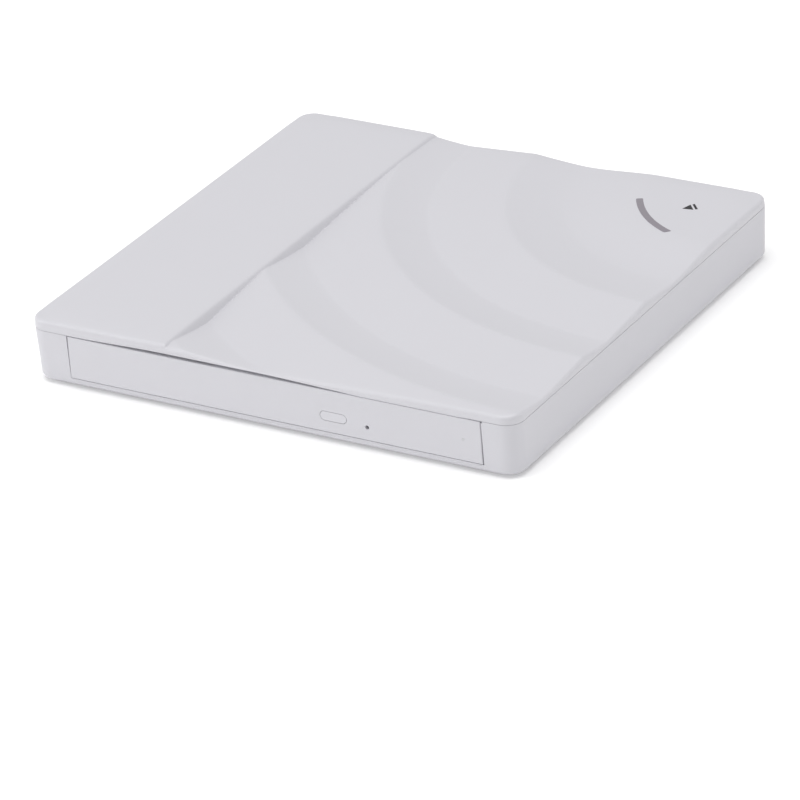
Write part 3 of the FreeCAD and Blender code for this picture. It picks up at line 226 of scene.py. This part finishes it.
def wire(points, radius, sides=8):
    """A round wire along points."""
    rows = []
    side = None
    for index, point in enumerate(points):
        along = (points[min(index + 1, len(points) - 1)] - points[max(index - 1, 0)]).normalized()
        side = side or along.orthogonal()
        side = (side - along * side.dot(along)).normalized()
        up = along.cross(side)
        turns = [2 * math.pi * step / sides for step in range(sides)]
        rows.append([point + (side * math.cos(turn) + up * math.sin(turn)) * radius for turn in turns])
    return skinned(rows)


def bend(before, corner, after, reach, steps=5):
    """Points round a corner, from a little before it to a little after it."""
    start = corner + (before - corner).normalized() * min(reach, (before - corner).length * 0.5)
    end = corner + (after - corner).normalized() * min(reach, (after - corner).length * 0.5)
    shares = [step / steps for step in range(steps + 1)]
    return [start * (1 - s) ** 2 + corner * 2 * s * (1 - s) + end * s ** 2 for s in shares]


def rounded(outline, reach):
    """An outline with its corners rounded."""
    points = []
    for index, corner in enumerate(outline):
        points += bend(outline[index - 1], corner, outline[(index + 1) % len(outline)], reach)
    return points


# ---- materials ----

WHITE = (0.60, 0.595, 0.63)


def shader_nodes(name):
    """A new material, its tree, its shader and the place of a point on the piece."""
    material = bpy.data.materials.new(name)
    material.use_nodes = True
    tree = material.node_tree
    shader = tree.nodes["Principled BSDF"]
    place = tree.nodes.new("ShaderNodeTexCoord").outputs["Object"]
    return material, tree, shader, place


def noise(tree, place, grain, detail=3.0, roughness=0.5, stretch=None):
    """A noise whose grain is given in metres, drawn out along an axis when a stretch is given."""
    if stretch:
        mapping = tree.nodes.new("ShaderNodeMapping")
        mapping.inputs["Scale"].default_value = stretch
        tree.links.new(place, mapping.inputs["Vector"])
        place = mapping.outputs["Vector"]
    node = tree.nodes.new("ShaderNodeTexNoise")
    node.inputs["Scale"].default_value = 1 / grain
    node.inputs["Detail"].default_value = detail
    node.inputs["Roughness"].default_value = roughness
    tree.links.new(place, node.inputs["Vector"])
    return node.outputs["Fac"]


def spread(tree, factor, low, high, start=0.3, end=0.7):
    """Maps a range of a factor, a noise's middle range when none is given, to two values."""
    node = tree.nodes.new("ShaderNodeMapRange")
    node.inputs["From Min"].default_value = start
    node.inputs["From Max"].default_value = end
    node.inputs["To Min"].default_value = low
    node.inputs["To Max"].default_value = high
    tree.links.new(factor, node.inputs["Value"])
    return node.outputs["Result"]


def tint(tree, factor, first, second):
    """Mixes two colours by a factor."""
    node = tree.nodes.new("ShaderNodeMix")
    node.data_type = "RGBA"
    tree.links.new(factor, node.inputs["Factor"])
    node.inputs["A"].default_value = (*first, 1)
    node.inputs["B"].default_value = (*second, 1)
    return node.outputs["Result"]


def bump(tree, height, depth, below=None):
    """A normal raised by a height, on top of the one below when there is one."""
    node = tree.nodes.new("ShaderNodeBump")
    node.inputs["Strength"].default_value = 1.0
    node.inputs["Distance"].default_value = depth
    tree.links.new(height, node.inputs["Height"])
    if below is not None:
        tree.links.new(below, node.inputs["Normal"])
    return node.outputs["Normal"]


def scaled(colour, share):
    """A lighter or darker colour."""
    return tuple(min(channel * share, 1.0) for channel in colour)


def moulded(name, colour, rough, grain=0.12 * MM, depth=0.004 * MM, coat=0.0, wander=0.03):
    """Moulded plastic or rubber: a fine grain, slow waves in the gloss, and a slight drift of colour."""
    material, tree, shader, place = shader_nodes(name)
    slow = noise(tree, place, 18 * MM, 2.0)
    fine = noise(tree, place, grain, 4.0, 0.6)
    drift = tint(tree, slow, scaled(colour, 1 - wander), scaled(colour, 1 + wander))
    tree.links.new(drift, shader.inputs["Base Color"])
    tree.links.new(spread(tree, fine, rough * 0.88, rough * 1.12), shader.inputs["Roughness"])
    normal = bump(tree, noise(tree, place, 9 * MM, 1.0), depth * 1.5)
    tree.links.new(bump(tree, fine, depth, normal), shader.inputs["Normal"])
    shader.inputs["Coat Weight"].default_value = coat
    shader.inputs["Coat Roughness"].default_value = 0.12
    return material


def case_white(name, rough, depth=0.004 * MM, coat=0.0, colour=WHITE):
    """The white plastic of the case and the drive's front, with hardly any drift of colour."""
    return moulded(name, colour, rough, grain=0.25 * MM, depth=depth, coat=coat, wander=0.006)


def drawn_metal(name, colour, rough, axis="y", grain=0.25 * MM, depth=0.002 * MM):
    """Sheet or wire with fine lines along the way it was drawn."""
    material, tree, shader, place = shader_nodes(name)
    stretch = {"x": (0.03, 1, 1), "y": (1, 0.03, 1), "z": (1, 1, 0.03)}[axis]
    lines = noise(tree, place, grain, 4.0, 0.6, stretch)
    spots = noise(tree, place, 6 * MM, 4.0, 0.6)
    tree.links.new(tint(tree, spots, scaled(colour, 0.9), scaled(colour, 1.06)), shader.inputs["Base Color"])
    tree.links.new(spread(tree, lines, rough * 0.75, rough * 1.3), shader.inputs["Roughness"])
    tree.links.new(bump(tree, lines, depth), shader.inputs["Normal"])
    shader.inputs["Metallic"].default_value = 1.0
    return material


def turned_metal(name, colour, rough, x, y):
    """Metal with fine rings about an upright axis, as a lathe leaves them."""
    material, tree, shader, place = shader_nodes(name)
    offset = tree.nodes.new("ShaderNodeVectorMath")
    offset.operation = "SUBTRACT"
    offset.inputs[1].default_value = (x, y, 0)
    tree.links.new(place, offset.inputs[0])
    flat = tree.nodes.new("ShaderNodeVectorMath")
    flat.operation = "MULTIPLY"
    flat.inputs[1].default_value = (1, 1, 0)
    tree.links.new(offset.outputs["Vector"], flat.inputs[0])
    reach = tree.nodes.new("ShaderNodeVectorMath")
    reach.operation = "LENGTH"
    tree.links.new(flat.outputs["Vector"], reach.inputs[0])
    rings = tree.nodes.new("ShaderNodeTexNoise")
    rings.noise_dimensions = "1D"
    rings.inputs["Scale"].default_value = 1 / (0.15 * MM)
    rings.inputs["Detail"].default_value = 3.0
    tree.links.new(reach.outputs["Value"], rings.inputs["W"])
    lines = rings.outputs["Fac"]
    tree.links.new(tint(tree, lines, scaled(colour, 0.92), scaled(colour, 1.05)), shader.inputs["Base Color"])
    tree.links.new(spread(tree, lines, rough * 0.75, rough * 1.3), shader.inputs["Roughness"])
    tree.links.new(bump(tree, lines, 0.002 * MM), shader.inputs["Normal"])
    shader.inputs["Metallic"].default_value = 1.0
    return material


def circuit_board(name, colour):
    """Solder mask over a web of copper tracks, with small plated holes."""
    material, tree, shader, place = shader_nodes(name)
    tracks = tree.nodes.new("ShaderNodeTexVoronoi")
    tracks.feature = "DISTANCE_TO_EDGE"
    tracks.inputs["Scale"].default_value = 1 / (2.4 * MM)
    tracks.inputs["Randomness"].default_value = 0.7
    tree.links.new(place, tracks.inputs["Vector"])
    lines = spread(tree, tracks.outputs["Distance"], 1.0, 0.0, 0.04, 0.07)
    dots = tree.nodes.new("ShaderNodeTexVoronoi")
    dots.inputs["Scale"].default_value = 1 / (3.1 * MM)
    tree.links.new(place, dots.inputs["Vector"])
    vias = spread(tree, dots.outputs["Distance"], 1.0, 0.0, 0.10, 0.13)
    masked = tint(tree, lines, colour, scaled(colour, 1.9))
    plated = tree.nodes.new("ShaderNodeMix")
    plated.data_type = "RGBA"
    tree.links.new(vias, plated.inputs["Factor"])
    tree.links.new(masked, plated.inputs["A"])
    plated.inputs["B"].default_value = (0.75, 0.62, 0.3, 1)
    tree.links.new(plated.outputs["Result"], shader.inputs["Base Color"])
    tree.links.new(vias, shader.inputs["Metallic"])
    tree.links.new(bump(tree, lines, 0.02 * MM), shader.inputs["Normal"])
    shader.inputs["Roughness"].default_value = 0.32
    return material


def ribbon_film(name, colour):
    """Amber film with its copper tracks showing through, side by side."""
    material, tree, shader, place = shader_nodes(name)
    wave = tree.nodes.new("ShaderNodeTexWave")
    wave.bands_direction = "X"
    wave.inputs["Scale"].default_value = 1 / (4.0 * MM)
    tree.links.new(place, wave.inputs["Vector"])
    stripes = tint(tree, wave.outputs["Fac"], scaled(colour, 0.6), scaled(colour, 1.25))
    tree.links.new(stripes, shader.inputs["Base Color"])
    tree.links.new(bump(tree, wave.outputs["Fac"], 0.02 * MM), shader.inputs["Normal"])
    shader.inputs["Roughness"].default_value = 0.3
    shader.inputs["Coat Weight"].default_value = 0.4
    return material


def coated_glass(name, colour):
    """Moulded glass with a bluish coating that wanders a little."""
    material, tree, shader, place = shader_nodes(name)
    film = noise(tree, place, 3 * MM, 2.0)
    tree.links.new(tint(tree, film, scaled(colour, 0.8), scaled(colour, 1.1)), shader.inputs["Base Color"])
    tree.links.new(spread(tree, film, 0.02, 0.05), shader.inputs["Roughness"])
    shader.inputs["Transmission Weight"].default_value = 0.75
    shader.inputs["IOR"].default_value = 1.5
    shader.inputs["Coat Weight"].default_value = 1.0
    return material


materials = {
    "lid_white": case_white("lid_white", 0.42, depth=0.003 * MM, coat=0.12),
    "shell_white": case_white("shell_white", 0.45),
    "bezel_white": case_white("bezel_white", 0.45),
    "button_white": case_white("button_white", 0.42, colour=scaled(WHITE, 1.02)),
    "foot_rubber": moulded("foot_rubber", (0.16, 0.16, 0.165), 0.8, depth=0.02 * MM, wander=0.08),
    "smoke_guide": moulded("smoke_guide", (0.245, 0.225, 0.255), 0.38, depth=0.003 * MM, coat=0.2),
    "symbol_ink": moulded("symbol_ink", (0.02, 0.019, 0.022), 0.5),
    "lamp_white": moulded("lamp_white", (0.6, 0.6, 0.62), 0.25, coat=0.5),
    "chip_black": moulded("chip_black", (0.022, 0.022, 0.024), 0.55, depth=0.012 * MM),
    "contact_blue": moulded("contact_blue", (0.02, 0.1, 0.42), 0.4),
    "jack_black": moulded("jack_black", (0.018, 0.018, 0.02), 0.45),
    "foam_grey": moulded("foam_grey", (0.07, 0.07, 0.075), 0.95, grain=0.4 * MM, depth=0.12 * MM,
                         wander=0.15),
    "tray_grey": moulded("tray_grey", (0.032, 0.033, 0.037), 0.5, grain=0.18 * MM, depth=0.012 * MM,
                         wander=0.05),
    "damper_rubber": moulded("damper_rubber", (0.022, 0.022, 0.022), 0.7, depth=0.01 * MM),
    "claw_acetal": moulded("claw_acetal", (0.7, 0.68, 0.62), 0.4),
    "holder_black": moulded("holder_black", (0.02, 0.02, 0.023), 0.5),
    "cover_steel": moulded("cover_steel", (0.03, 0.03, 0.033), 0.35, grain=0.3 * MM, depth=0.006 * MM),
    "coil_paint": moulded("coil_paint", (0.07, 0.07, 0.075), 0.3),
    "screw_steel": drawn_metal("screw_steel", (0.42, 0.42, 0.43), 0.32, "z"),
    "copper_foil": drawn_metal("copper_foil", (0.75, 0.42, 0.26), 0.35, "x"),
    "can_aluminium": drawn_metal("can_aluminium", (0.72, 0.73, 0.74), 0.3, "z"),
    "socket_nickel": drawn_metal("socket_nickel", (0.62, 0.61, 0.59), 0.25, "y"),
    "contact_gold": drawn_metal("contact_gold", (0.8, 0.62, 0.28), 0.22, "y"),
    "case_steel": drawn_metal("case_steel", (0.55, 0.56, 0.57), 0.36, "y", grain=0.5 * MM),
    "rail_steel": drawn_metal("rail_steel", (0.62, 0.62, 0.62), 0.27, "y"),
    "traverse_steel": drawn_metal("traverse_steel", (0.48, 0.49, 0.5), 0.38, "x", grain=0.5 * MM),
    "rod_chrome": drawn_metal("rod_chrome", (0.72, 0.72, 0.73), 0.12, "z"),
    "motor_steel": drawn_metal("motor_steel", (0.42, 0.42, 0.43), 0.35, "z"),
    "spring_steel": drawn_metal("spring_steel", (0.5, 0.5, 0.5), 0.28, "y"),
    "sled_zinc": drawn_metal("sled_zinc", (0.42, 0.42, 0.42), 0.5, "x", grain=0.8 * MM, depth=0.01 * MM),
    "turntable_steel": turned_metal("turntable_steel", (0.6, 0.61, 0.62), 0.3, SPINDLE_X * MM,
                                    SPINDLE_Y * MM),
    "board_green": circuit_board("board_green", (0.012, 0.09, 0.035)),
    "ribbon_amber": ribbon_film("ribbon_amber", (0.5, 0.2, 0.03)),
    "lens_glass": coated_glass("lens_glass", (0.45, 0.55, 0.85)),
}

for sub_part in frame["record"]["subparts"]:
    node = frame["nodes"][sub_part["node"]]
    node.data.materials.clear()
    node.data.materials.append(materials[sub_part["material_slot"]])


# ---- lid ----

def smooth_share(value):
    """Eases a share of 0 to 1, level at both ends."""
    share = min(max(value, 0.0), 1.0)
    return share * share * (3 - 2 * share)


def ring_height(x, y):
    """Height of the lid's face: a flat strip on the left, whose wall falls to the rings."""
    radius = math.hypot(x - RING_CENTER.x, y - RING_CENTER.y)
    inner_trough = RING_FIRST - RING_INNER_REACH
    share = (radius - RING_FIRST) / RING_PITCH % 1.0
    if radius < inner_trough:
        drop = smooth_share((radius - RING_CALM) / (inner_trough - RING_CALM))
    elif radius < RING_FIRST:
        drop = 1 - ((radius - inner_trough) / RING_INNER_REACH) ** RING_SWELL
    elif share < RING_TROUGH:
        drop = share / RING_TROUGH
    else:
        drop = 1 - ((share - RING_TROUGH) / (1 - RING_TROUGH)) ** RING_SWELL
    wave = RING_DEPTH * drop * drop / math.hypot(drop, CREST_SOFTNESS)
    beyond = x - STRIP_EDGE
    fall = STRIP_FALL * (beyond + math.hypot(beyond, STRIP_SOFTNESS)) / 2
    return PLATEAU - min(RING_STEP + wave, fall)


def face_height(x, y):
    """The lid's face, which dips a little towards its crest, most along the back and the left side."""
    height = ring_height(x, y)
    across = abs(x) - HALF_WIDTH + LID_DIP_CORNER
    along = abs(y) - HALF_DEPTH + LID_DIP_CORNER
    outside = math.hypot(max(across, 0), max(along, 0)) + min(max(across, along), 0) - LID_DIP_CORNER
    share = min(max(1 + outside / LID_DIP_REACH, 0.0), 1.0)
    low = PLATEAU - RING_STEP - RING_DEPTH
    far_side = smooth_share(0.5 + (y - x) / (HALF_WIDTH + HALF_DEPTH))
    dip = LID_DIP + (LID_DIP_FAR - LID_DIP) * far_side
    return height - min(LID_DIP_SHARE * (height - low), dip) * share ** 2


def calm_height(x, y):
    """The face's height evened out along the front, so that the strip's wall fades on the lid's edge."""
    steps = range(-4, 5)
    return sum(face_height(x + step * CALM_STEP, y) for step in steps) / len(steps)


def shell_point(a, b, inset):
    """A point of the enclosure's rounded outline, moved inwards, from a point on a square's edge."""
    half_x, half_y, radius = HALF_WIDTH - inset, HALF_DEPTH - inset, max(CORNER_RADIUS - inset, 0.5 * MM)
    x, y = a * half_x, b * half_y
    beyond = Vector((max(abs(x) - half_x + radius, 0), max(abs(y) - half_y + radius, 0)))
    if beyond.x > 0 and beyond.y > 0:
        beyond = beyond.normalized() * radius
        x = math.copysign(half_x - radius + beyond.x, x)
        y = math.copysign(half_y - radius + beyond.y, y)
    return x, y


def hump(value, start, rise, end, fall):
    """Eases up from 0 over a rise after the start, and down again to 0 over a fall before the end."""
    return smooth_share((value - start) / rise) * smooth_share((end - value) / fall)


def lid_rim_height(x, y):
    """The lid's lower rim, which bows up along the front left of the tray's mouth and sinks at its right."""
    front = min(max((-y - HALF_DEPTH + 8 * MM) / (6 * MM), 0.0), 1.0)
    bow = RIM_BOW * hump(x, -62 * MM, 30 * MM, 30 * MM, 34 * MM)
    sink = RIM_SINK * hump(x, 20 * MM, 10 * MM, 62 * MM, 3 * MM)
    return PARTING + RIM_GAP + front * (bow - sink)


def lid_columns(count):
    """Places across the lid as shares of its half width, close together at the strip's wall."""
    half, clear = HALF_WIDTH - LID_EDGE, 0.4 * MM / HALF_WIDTH
    before, pitch, wall_count = 1.2 * MM, 0.12 * MM, 28
    wall = [(STRIP_EDGE - before + pitch * step) / half for step in range(wall_count)]
    wide = [-1 + 2 * step / count for step in range(count + 1)]
    return sorted(wall + [share for share in wide if share < wall[0] - clear or share > wall[-1] + clear])


def make_lid():
    """The top cover: a grid for its face, rings round its edge and rim, and a grid for its ceiling."""
    count = 200
    columns = lid_columns(count)
    rows = [-1 + 2 * step / count for step in range(count + 1)]
    last_column, last_row = len(columns) - 1, len(rows) - 1
    border = [(column, 0) for column in range(last_column)]
    border += [(last_column, row) for row in range(last_row)]
    border += [(column, last_row) for column in range(last_column, 0, -1)]
    border += [(0, row) for row in range(last_row, 0, -1)]
    crest_inset = (PLATEAU - PARTING) * DRAFT + LID_EDGE
    verts, faces = [], []

    def add_grid(inset, level):
        """Points over the whole lid with faces between them; gives back its border."""
        start = len(verts)
        for a in columns:
            for b in rows:
                share = max(abs(a), abs(b))
                x, y = shell_point(a / share, b / share, inset) if share else (0.0, 0.0)
                x, y = x * share, y * share
                verts.append((x, y, level(x, y)))
        width = last_row + 1
        for column in range(last_column):
            for row in range(last_row):
                corner = start + column * width + row
                faces.append((corner, corner + width, corner + width + 1, corner + 1))
        return [start + column * width + row for column, row in border]

    def add_ring(inset, level):
        """Points along the lid's outline, moved inwards."""
        start = len(verts)
        for column, row in border:
            x, y = shell_point(columns[column], rows[row], inset)
            verts.append((x, y, level(x, y)))
        return list(range(start, start + len(border)))

    def join(first, second):
        """A band of faces between two borders."""
        for index in range(len(border)):
            following = (index + 1) % len(border)
            faces.append((first[index], first[following], second[following], second[index]))

    def edge_height(x, y, share):
        """Height on the rounded edge, from its shoulder at a share of 0 to its crest at 1."""
        calm = calm_height(x, y)
        crest = calm + (face_height(x, y) - calm) * share
        shoulder = max(calm - LID_EDGE, lid_rim_height(x, y) + LID_LEAST_WALL)
        return shoulder + (crest - shoulder) * share

    previous = add_grid(crest_inset, face_height)
    steps = 7
    for step in range(1, steps + 1):
        turn = math.pi / 2 * step / steps
        inset = crest_inset - LID_EDGE * math.sin(turn)
        current = add_ring(inset, lambda x, y: edge_height(x, y, math.cos(turn)))
        join(previous, current)
        previous = current
    for inset, lift in RIM_ROUNDING:
        current = add_ring(inset, lambda x, y: lid_rim_height(x, y) + lift)
        join(previous, current)
        previous = current
    current = add_ring(LID_WALL - 0.1 * MM, lid_rim_height)
    join(previous, current)
    previous = current
    current = add_grid(LID_WALL + 0.3 * MM, lambda x, y: max(ring_height(x, y) - LID_THICKNESS, LID_CEILING))
    join(previous, current)
    lid = make_piece("lid", verts, faces, "lid_white", "enclosure", smooth=50.0)
    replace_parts(lid, "top_cover")


def make_touch_key():
    """The curved light guide and the eject mark, let into the lid."""
    steps = 40
    inner, outer = [], []
    for step in range(steps + 1):
        turn = GUIDE_START + GUIDE_SWEEP * step / steps
        away = Vector((math.cos(turn), math.sin(turn)))
        inner.append(RING_CENTER + away * GUIDE_INNER)
        outer.append(RING_CENTER + away * GUIDE_OUTER)
    inner.append(inner[-1] + (inner[-1] - inner[-2]).normalized() * GUIDE_SLANT)
    outline = rounded_ends(outer, inner)
    verts, faces = prism(outline, TOUCH_FACE - GUIDE_DEPTH, TOUCH_FACE + GUIDE_LIFT, GUIDE_EDGE)
    guide = make_piece("light_guide", verts, faces, "smoke_guide", "enclosure")
    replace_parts(guide, "touch_light_guide")

    near, far = MARK_BAR
    shapes = []
    for shape in ([(MARK_TIP, 0), (MARK_BASE, -MARK_HALF), (MARK_BASE, MARK_HALF)],
                  [(near, -MARK_HALF), (far, -MARK_HALF), (far, MARK_HALF), (near, MARK_HALF)]):
        outline = [MARK_PLACE + Matrix.Rotation(MARK_TURN, 2) @ Vector(point) for point in shape]
        shapes.append(prism(rounded(outline, MARK_CORNER), TOUCH_FACE - MARK_DEPTH, TOUCH_FACE + MARK_LIFT,
                            MARK_EDGE))
    mark = make_piece("eject_mark", *combined(shapes), "symbol_ink", "enclosure")
    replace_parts(mark, "eject_symbol")


def rounded_ends(outer, inner):
    """Closes two rows of points into one outline and rounds its four end corners."""
    outline = outer[1:-1]
    outline += bend(outline[-1], outer[-1], inner[-1], GUIDE_CORNER)
    outline += bend(outline[-1], inner[-1], inner[-2], GUIDE_CORNER)
    outline += inner[-2:0:-1]
    outline += bend(outline[-1], inner[0], outer[0], GUIDE_CORNER)
    outline += bend(outline[-1], outer[0], outer[1], GUIDE_CORNER)
    return outline


# ---- small pieces ----

def traverse_point(across, along, height):
    """A point of the traverse, which is turned 45 degrees about the spindle, in millimetres."""
    turn = math.sqrt(0.5)
    return Vector((SPINDLE_X + (across + along) * turn, SPINDLE_Y + (along - across) * turn, height)) * MM


def make_screws():
    """The enclosure's and the bridge board's screws, with hexagonal sockets, and the former with threads."""
    head = [(AXIS, 4.3, 6), (0.78, 4.3, 6), (0.78, 3.5, 6), (0.9, 3.42), (1.3, 3.4), (1.65, 3.48),
            (1.86, 3.68), (1.9, 3.95), (1.9, 4.5), (1.85, 4.6), (1.0, 4.6)]
    root, crest, pitch, turns = 4.9, 5.1, 0.4, 26
    thread = []
    for turn in range(turns):
        thread += [(0.84, root + pitch * turn), (1.0, crest + pitch * turn)]
    tip = [(0.8, 15.4), (AXIS, 15.6)]
    places = [(x, y) for x in (-69.0, 70.6) for y in (-63.5, 63.5)]
    screws = combined([turned(head + thread + tip, place, steps=36) for place in places])
    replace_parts(make_piece("case_screws", *screws, "screw_steel", "enclosure"), "enclosure_screws")
    whole = [(AXIS, 7.2, 6), (0.6, 7.2, 6), (0.6, 7.62, 6), (0.75, 7.7), (1.2, 7.68), (1.75, 7.45),
             (2.0, 7.1), (2.0, 6.6), (0.8, 6.6), (0.8, 4.5), (AXIS, 4.4)]
    screws = combined([turned(whole, (x, 63.0), steps=36) for x in (-36.0, 42.0)])
    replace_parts(make_piece("bridge_screws", *screws, "screw_steel", "enclosure"), "board_screws")


def make_feet():
    """Rubber feet with a domed rim and a shallow dished face."""
    profile = [(AXIS, 0.25), (2.2, 0.22), (3.2, 0.1), (3.7, 0.02), (4.0, 0.0), (4.25, 0.06), (4.42, 0.22),
               (4.5, 0.45), (4.5, 1.5), (AXIS, 1.5)]
    places = [(x, y) for x in (-57.0, 57.0) for y in (-56.0, 56.0)]
    feet = combined([turned(profile, place, steps=56) for place in places])
    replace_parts(make_piece("feet", *feet, "foot_rubber", "enclosure"), "rubber_feet")


def make_capacitors():
    """The smoothing capacitors: cans with a rolled groove near the foot and a rimmed top."""
    profile = [(AXIS, 6.6), (1.85, 6.6), (2.0, 6.75), (2.0, 7.25), (1.82, 7.45), (1.82, 7.6), (2.0, 7.8),
               (2.0, 10.55), (1.85, 10.75), (1.5, 10.8), (1.4, 10.72), (AXIS, 10.72)]
    cans = combined([turned(profile, (x, 59.5)) for x in (26.5, 32.0, 37.5)])
    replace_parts(make_piece("capacitor_cans", *cans, "can_aluminium", "enclosure"), "smoothing_capacitors")


def make_lead_screw():
    """A rod with a rounded helical groove, which carries the sled's nut."""
    start, length, step, sides, pitch = -56.0, 41.8, 0.15, 28, 3.0
    across, height, radius, depth, plain_end = 18.5, 8.6, 1.3, 0.28, 1.5
    rows = []
    for row in range(int(length / step) + 1):
        place = row * step
        threaded = plain_end < place < length - plain_end
        ring = []
        for side in range(sides):
            turn = 2 * math.pi * side / sides
            phase = (place / pitch - side / sides) % 1.0
            groove = math.sin(math.pi * min(phase / 0.5, 1.0)) ** 2
            reach = radius - (depth * groove if threaded else 0.0)
            ring.append(traverse_point(across + reach * math.cos(turn), start + place,
                                       height + reach * math.sin(turn)))
        rows.append(ring)
    screw = make_piece("lead_thread", *skinned(rows), "rod_chrome", "feed_screw", smooth=50.0)
    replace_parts(screw, "lead_screw")


def make_lens():
    """The pickup's lens: a domed face inside a flat rim."""
    dome, foot, rise, steps = 1.42, 12.04, 0.41, 8
    profile = [(AXIS, 10.8), (1.85, 10.8), (1.88, 10.85), (1.88, 11.95), (1.84, 12.0), (1.5, 12.0),
               (dome, foot)]
    for step in range(1, steps + 1):
        turn = math.pi / 2 * step / steps
        profile.append((max(dome * math.cos(turn), AXIS), foot + rise * math.sin(turn)))
    center = traverse_point(0.0, -23.0, 0.0) / MM
    lens = make_piece("lens_dome", *turned(profile, center, steps=56), "lens_glass", "lens")
    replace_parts(lens, "objective_lens")


def make_ejector_spring():
    """A coil round the ejector's rod, held by the tray at one end and by the rod's head at the other."""
    turns, steps, low, high, radius = 7, 20, 22.35, 29.05, 1.57
    points = []
    for step in range(turns * steps + 1):
        share = step / (turns * steps)
        turn = 2 * math.pi * step / steps
        x, z = 50.0 + radius * math.cos(turn), 9.2 + radius * math.sin(turn)
        points.append(Vector((x, low + (high - low) * share, z)) * MM)
    coil = loose_piece("ejector_coil", *wire(points, 0.2 * MM), "spring_steel", smooth=60.0)
    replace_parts(coil, "ejector_spring")
    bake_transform(coil)


def make_flex_ribbon():
    """The film between the drive's frame and the tray, laid back on itself in a round fold."""
    low, high = 4.075, 4.725
    lower_back, upper_back, fold = 50.0, 30.0, -8.0
    across = (-30.0, -29.7, -19.0, -8.3, -8.0)
    radius, middle, film = (high - low) / 2, (high + low) / 2, 0.06
    path = [(lower_back + (fold - lower_back) * step / 40, low, 0.0, -1.0) for step in range(41)]
    for step in range(1, 12):
        turn = math.pi * step / 12
        out_y, out_z = -math.sin(turn), -math.cos(turn)
        path.append((fold + radius * out_y, middle + radius * out_z, out_y, out_z))
    path += [(fold + (upper_back - fold) * step / 26, high, 0.0, 1.0) for step in range(27)]
    rows = []
    for y, z, out_y, out_z in path:
        outer = [Vector((x, y + out_y * film, z + out_z * film)) * MM for x in across]
        inner = [Vector((x, y - out_y * film, z - out_z * film)) * MM for x in reversed(across)]
        rows.append(outer + inner)
    ribbon = loose_piece("film_ribbon", *skinned(rows), "ribbon_amber", smooth=40.0)
    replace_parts(ribbon, "flex_ribbon")
    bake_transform(ribbon)


make_lid()
make_touch_key()
make_screws()
make_feet()
make_capacitors()
make_lead_screw()
make_lens()
make_ejector_spring()
make_flex_ribbon()


# ---- stage ----

def make_stage():
    """A plain pale floor and soft studio light."""
    mesh = bpy.data.meshes.new("floor")
    reach = 4.0
    corners = [(-reach, -reach, 0), (reach, -reach, 0), (reach, reach, 0), (-reach, reach, 0)]
    mesh.from_pydata(corners, [], [(0, 1, 2, 3)])
    floor = bpy.data.objects.new("floor", mesh)
    material, tree, shader, place = shader_nodes("floor_paper")
    tree.links.new(spread(tree, noise(tree, place, 0.4), 0.55, 0.65), shader.inputs["Roughness"])
    shader.inputs["Base Color"].default_value = (0.95, 0.95, 0.95, 1)
    shader.inputs["Emission Color"].default_value = (1, 1, 1, 1)
    shader.inputs["Emission Strength"].default_value = 0.14
    mesh.materials.append(material)
    bpy.context.scene.collection.objects.link(floor)

    world = bpy.data.worlds.new("studio")
    world.use_nodes = True
    world.node_tree.nodes["Background"].inputs["Color"].default_value = (1.0, 1.0, 1.0, 1)
    world.node_tree.nodes["Background"].inputs["Strength"].default_value = 0.54
    bpy.context.scene.world = world
    bpy.context.scene.view_settings.view_transform = "Standard"

    add_light("overhead", azimuth=0, elevation=85, distance=1.6, size=1.3, power=15.3)
    add_light("key", azimuth=-50, elevation=22, distance=1.6, size=0.9, power=6.5)
    add_light("fill", azimuth=120, elevation=25, distance=1.8, size=1.0, power=2.2)


def direction(azimuth, elevation):
    """From the object towards a place given by its compass angle from the front and its height angle."""
    a, e = math.radians(azimuth), math.radians(elevation)
    return Vector((math.sin(a) * math.cos(e), -math.cos(a) * math.cos(e), math.sin(e)))


def add_light(name, azimuth, elevation, distance, size, power):
    """A square lamp that faces the object."""
    light = bpy.data.lights.new(name, "AREA")
    light.shape = "SQUARE"
    light.size = size
    light.energy = power
    lamp = bpy.data.objects.new(name, light)
    away = direction(azimuth, elevation)
    lamp.location = away * distance
    lamp.rotation_mode = "QUATERNION"
    lamp.rotation_quaternion = away.to_track_quat("Z", "Y")
    bpy.context.scene.collection.objects.link(lamp)


def make_camera():
    """The camera of the photo, turned a little about its own axis."""
    data = bpy.data.cameras.new("camera")
    data.sensor_width = 36.0
    data.lens = CAMERA_LENS
    data.shift_x = CAMERA_SHIFT
    data.clip_start, data.clip_end = 0.01, 50.0
    camera = bpy.data.objects.new("camera", data)
    back = direction(CAMERA_AZIMUTH, CAMERA_ELEVATION)
    right = Vector((0, 0, 1)).cross(back).normalized()
    level = Matrix((right, back.cross(right), back)).transposed()
    roll = Matrix.Rotation(CAMERA_ROLL, 3, "Z")
    camera.matrix_world = Matrix.Translation(CAMERA_AIM + back * CAMERA_DISTANCE) @ (level @ roll).to_4x4()
    bpy.context.scene.collection.objects.link(camera)
    bpy.context.scene.camera = camera


make_stage()
make_camera()
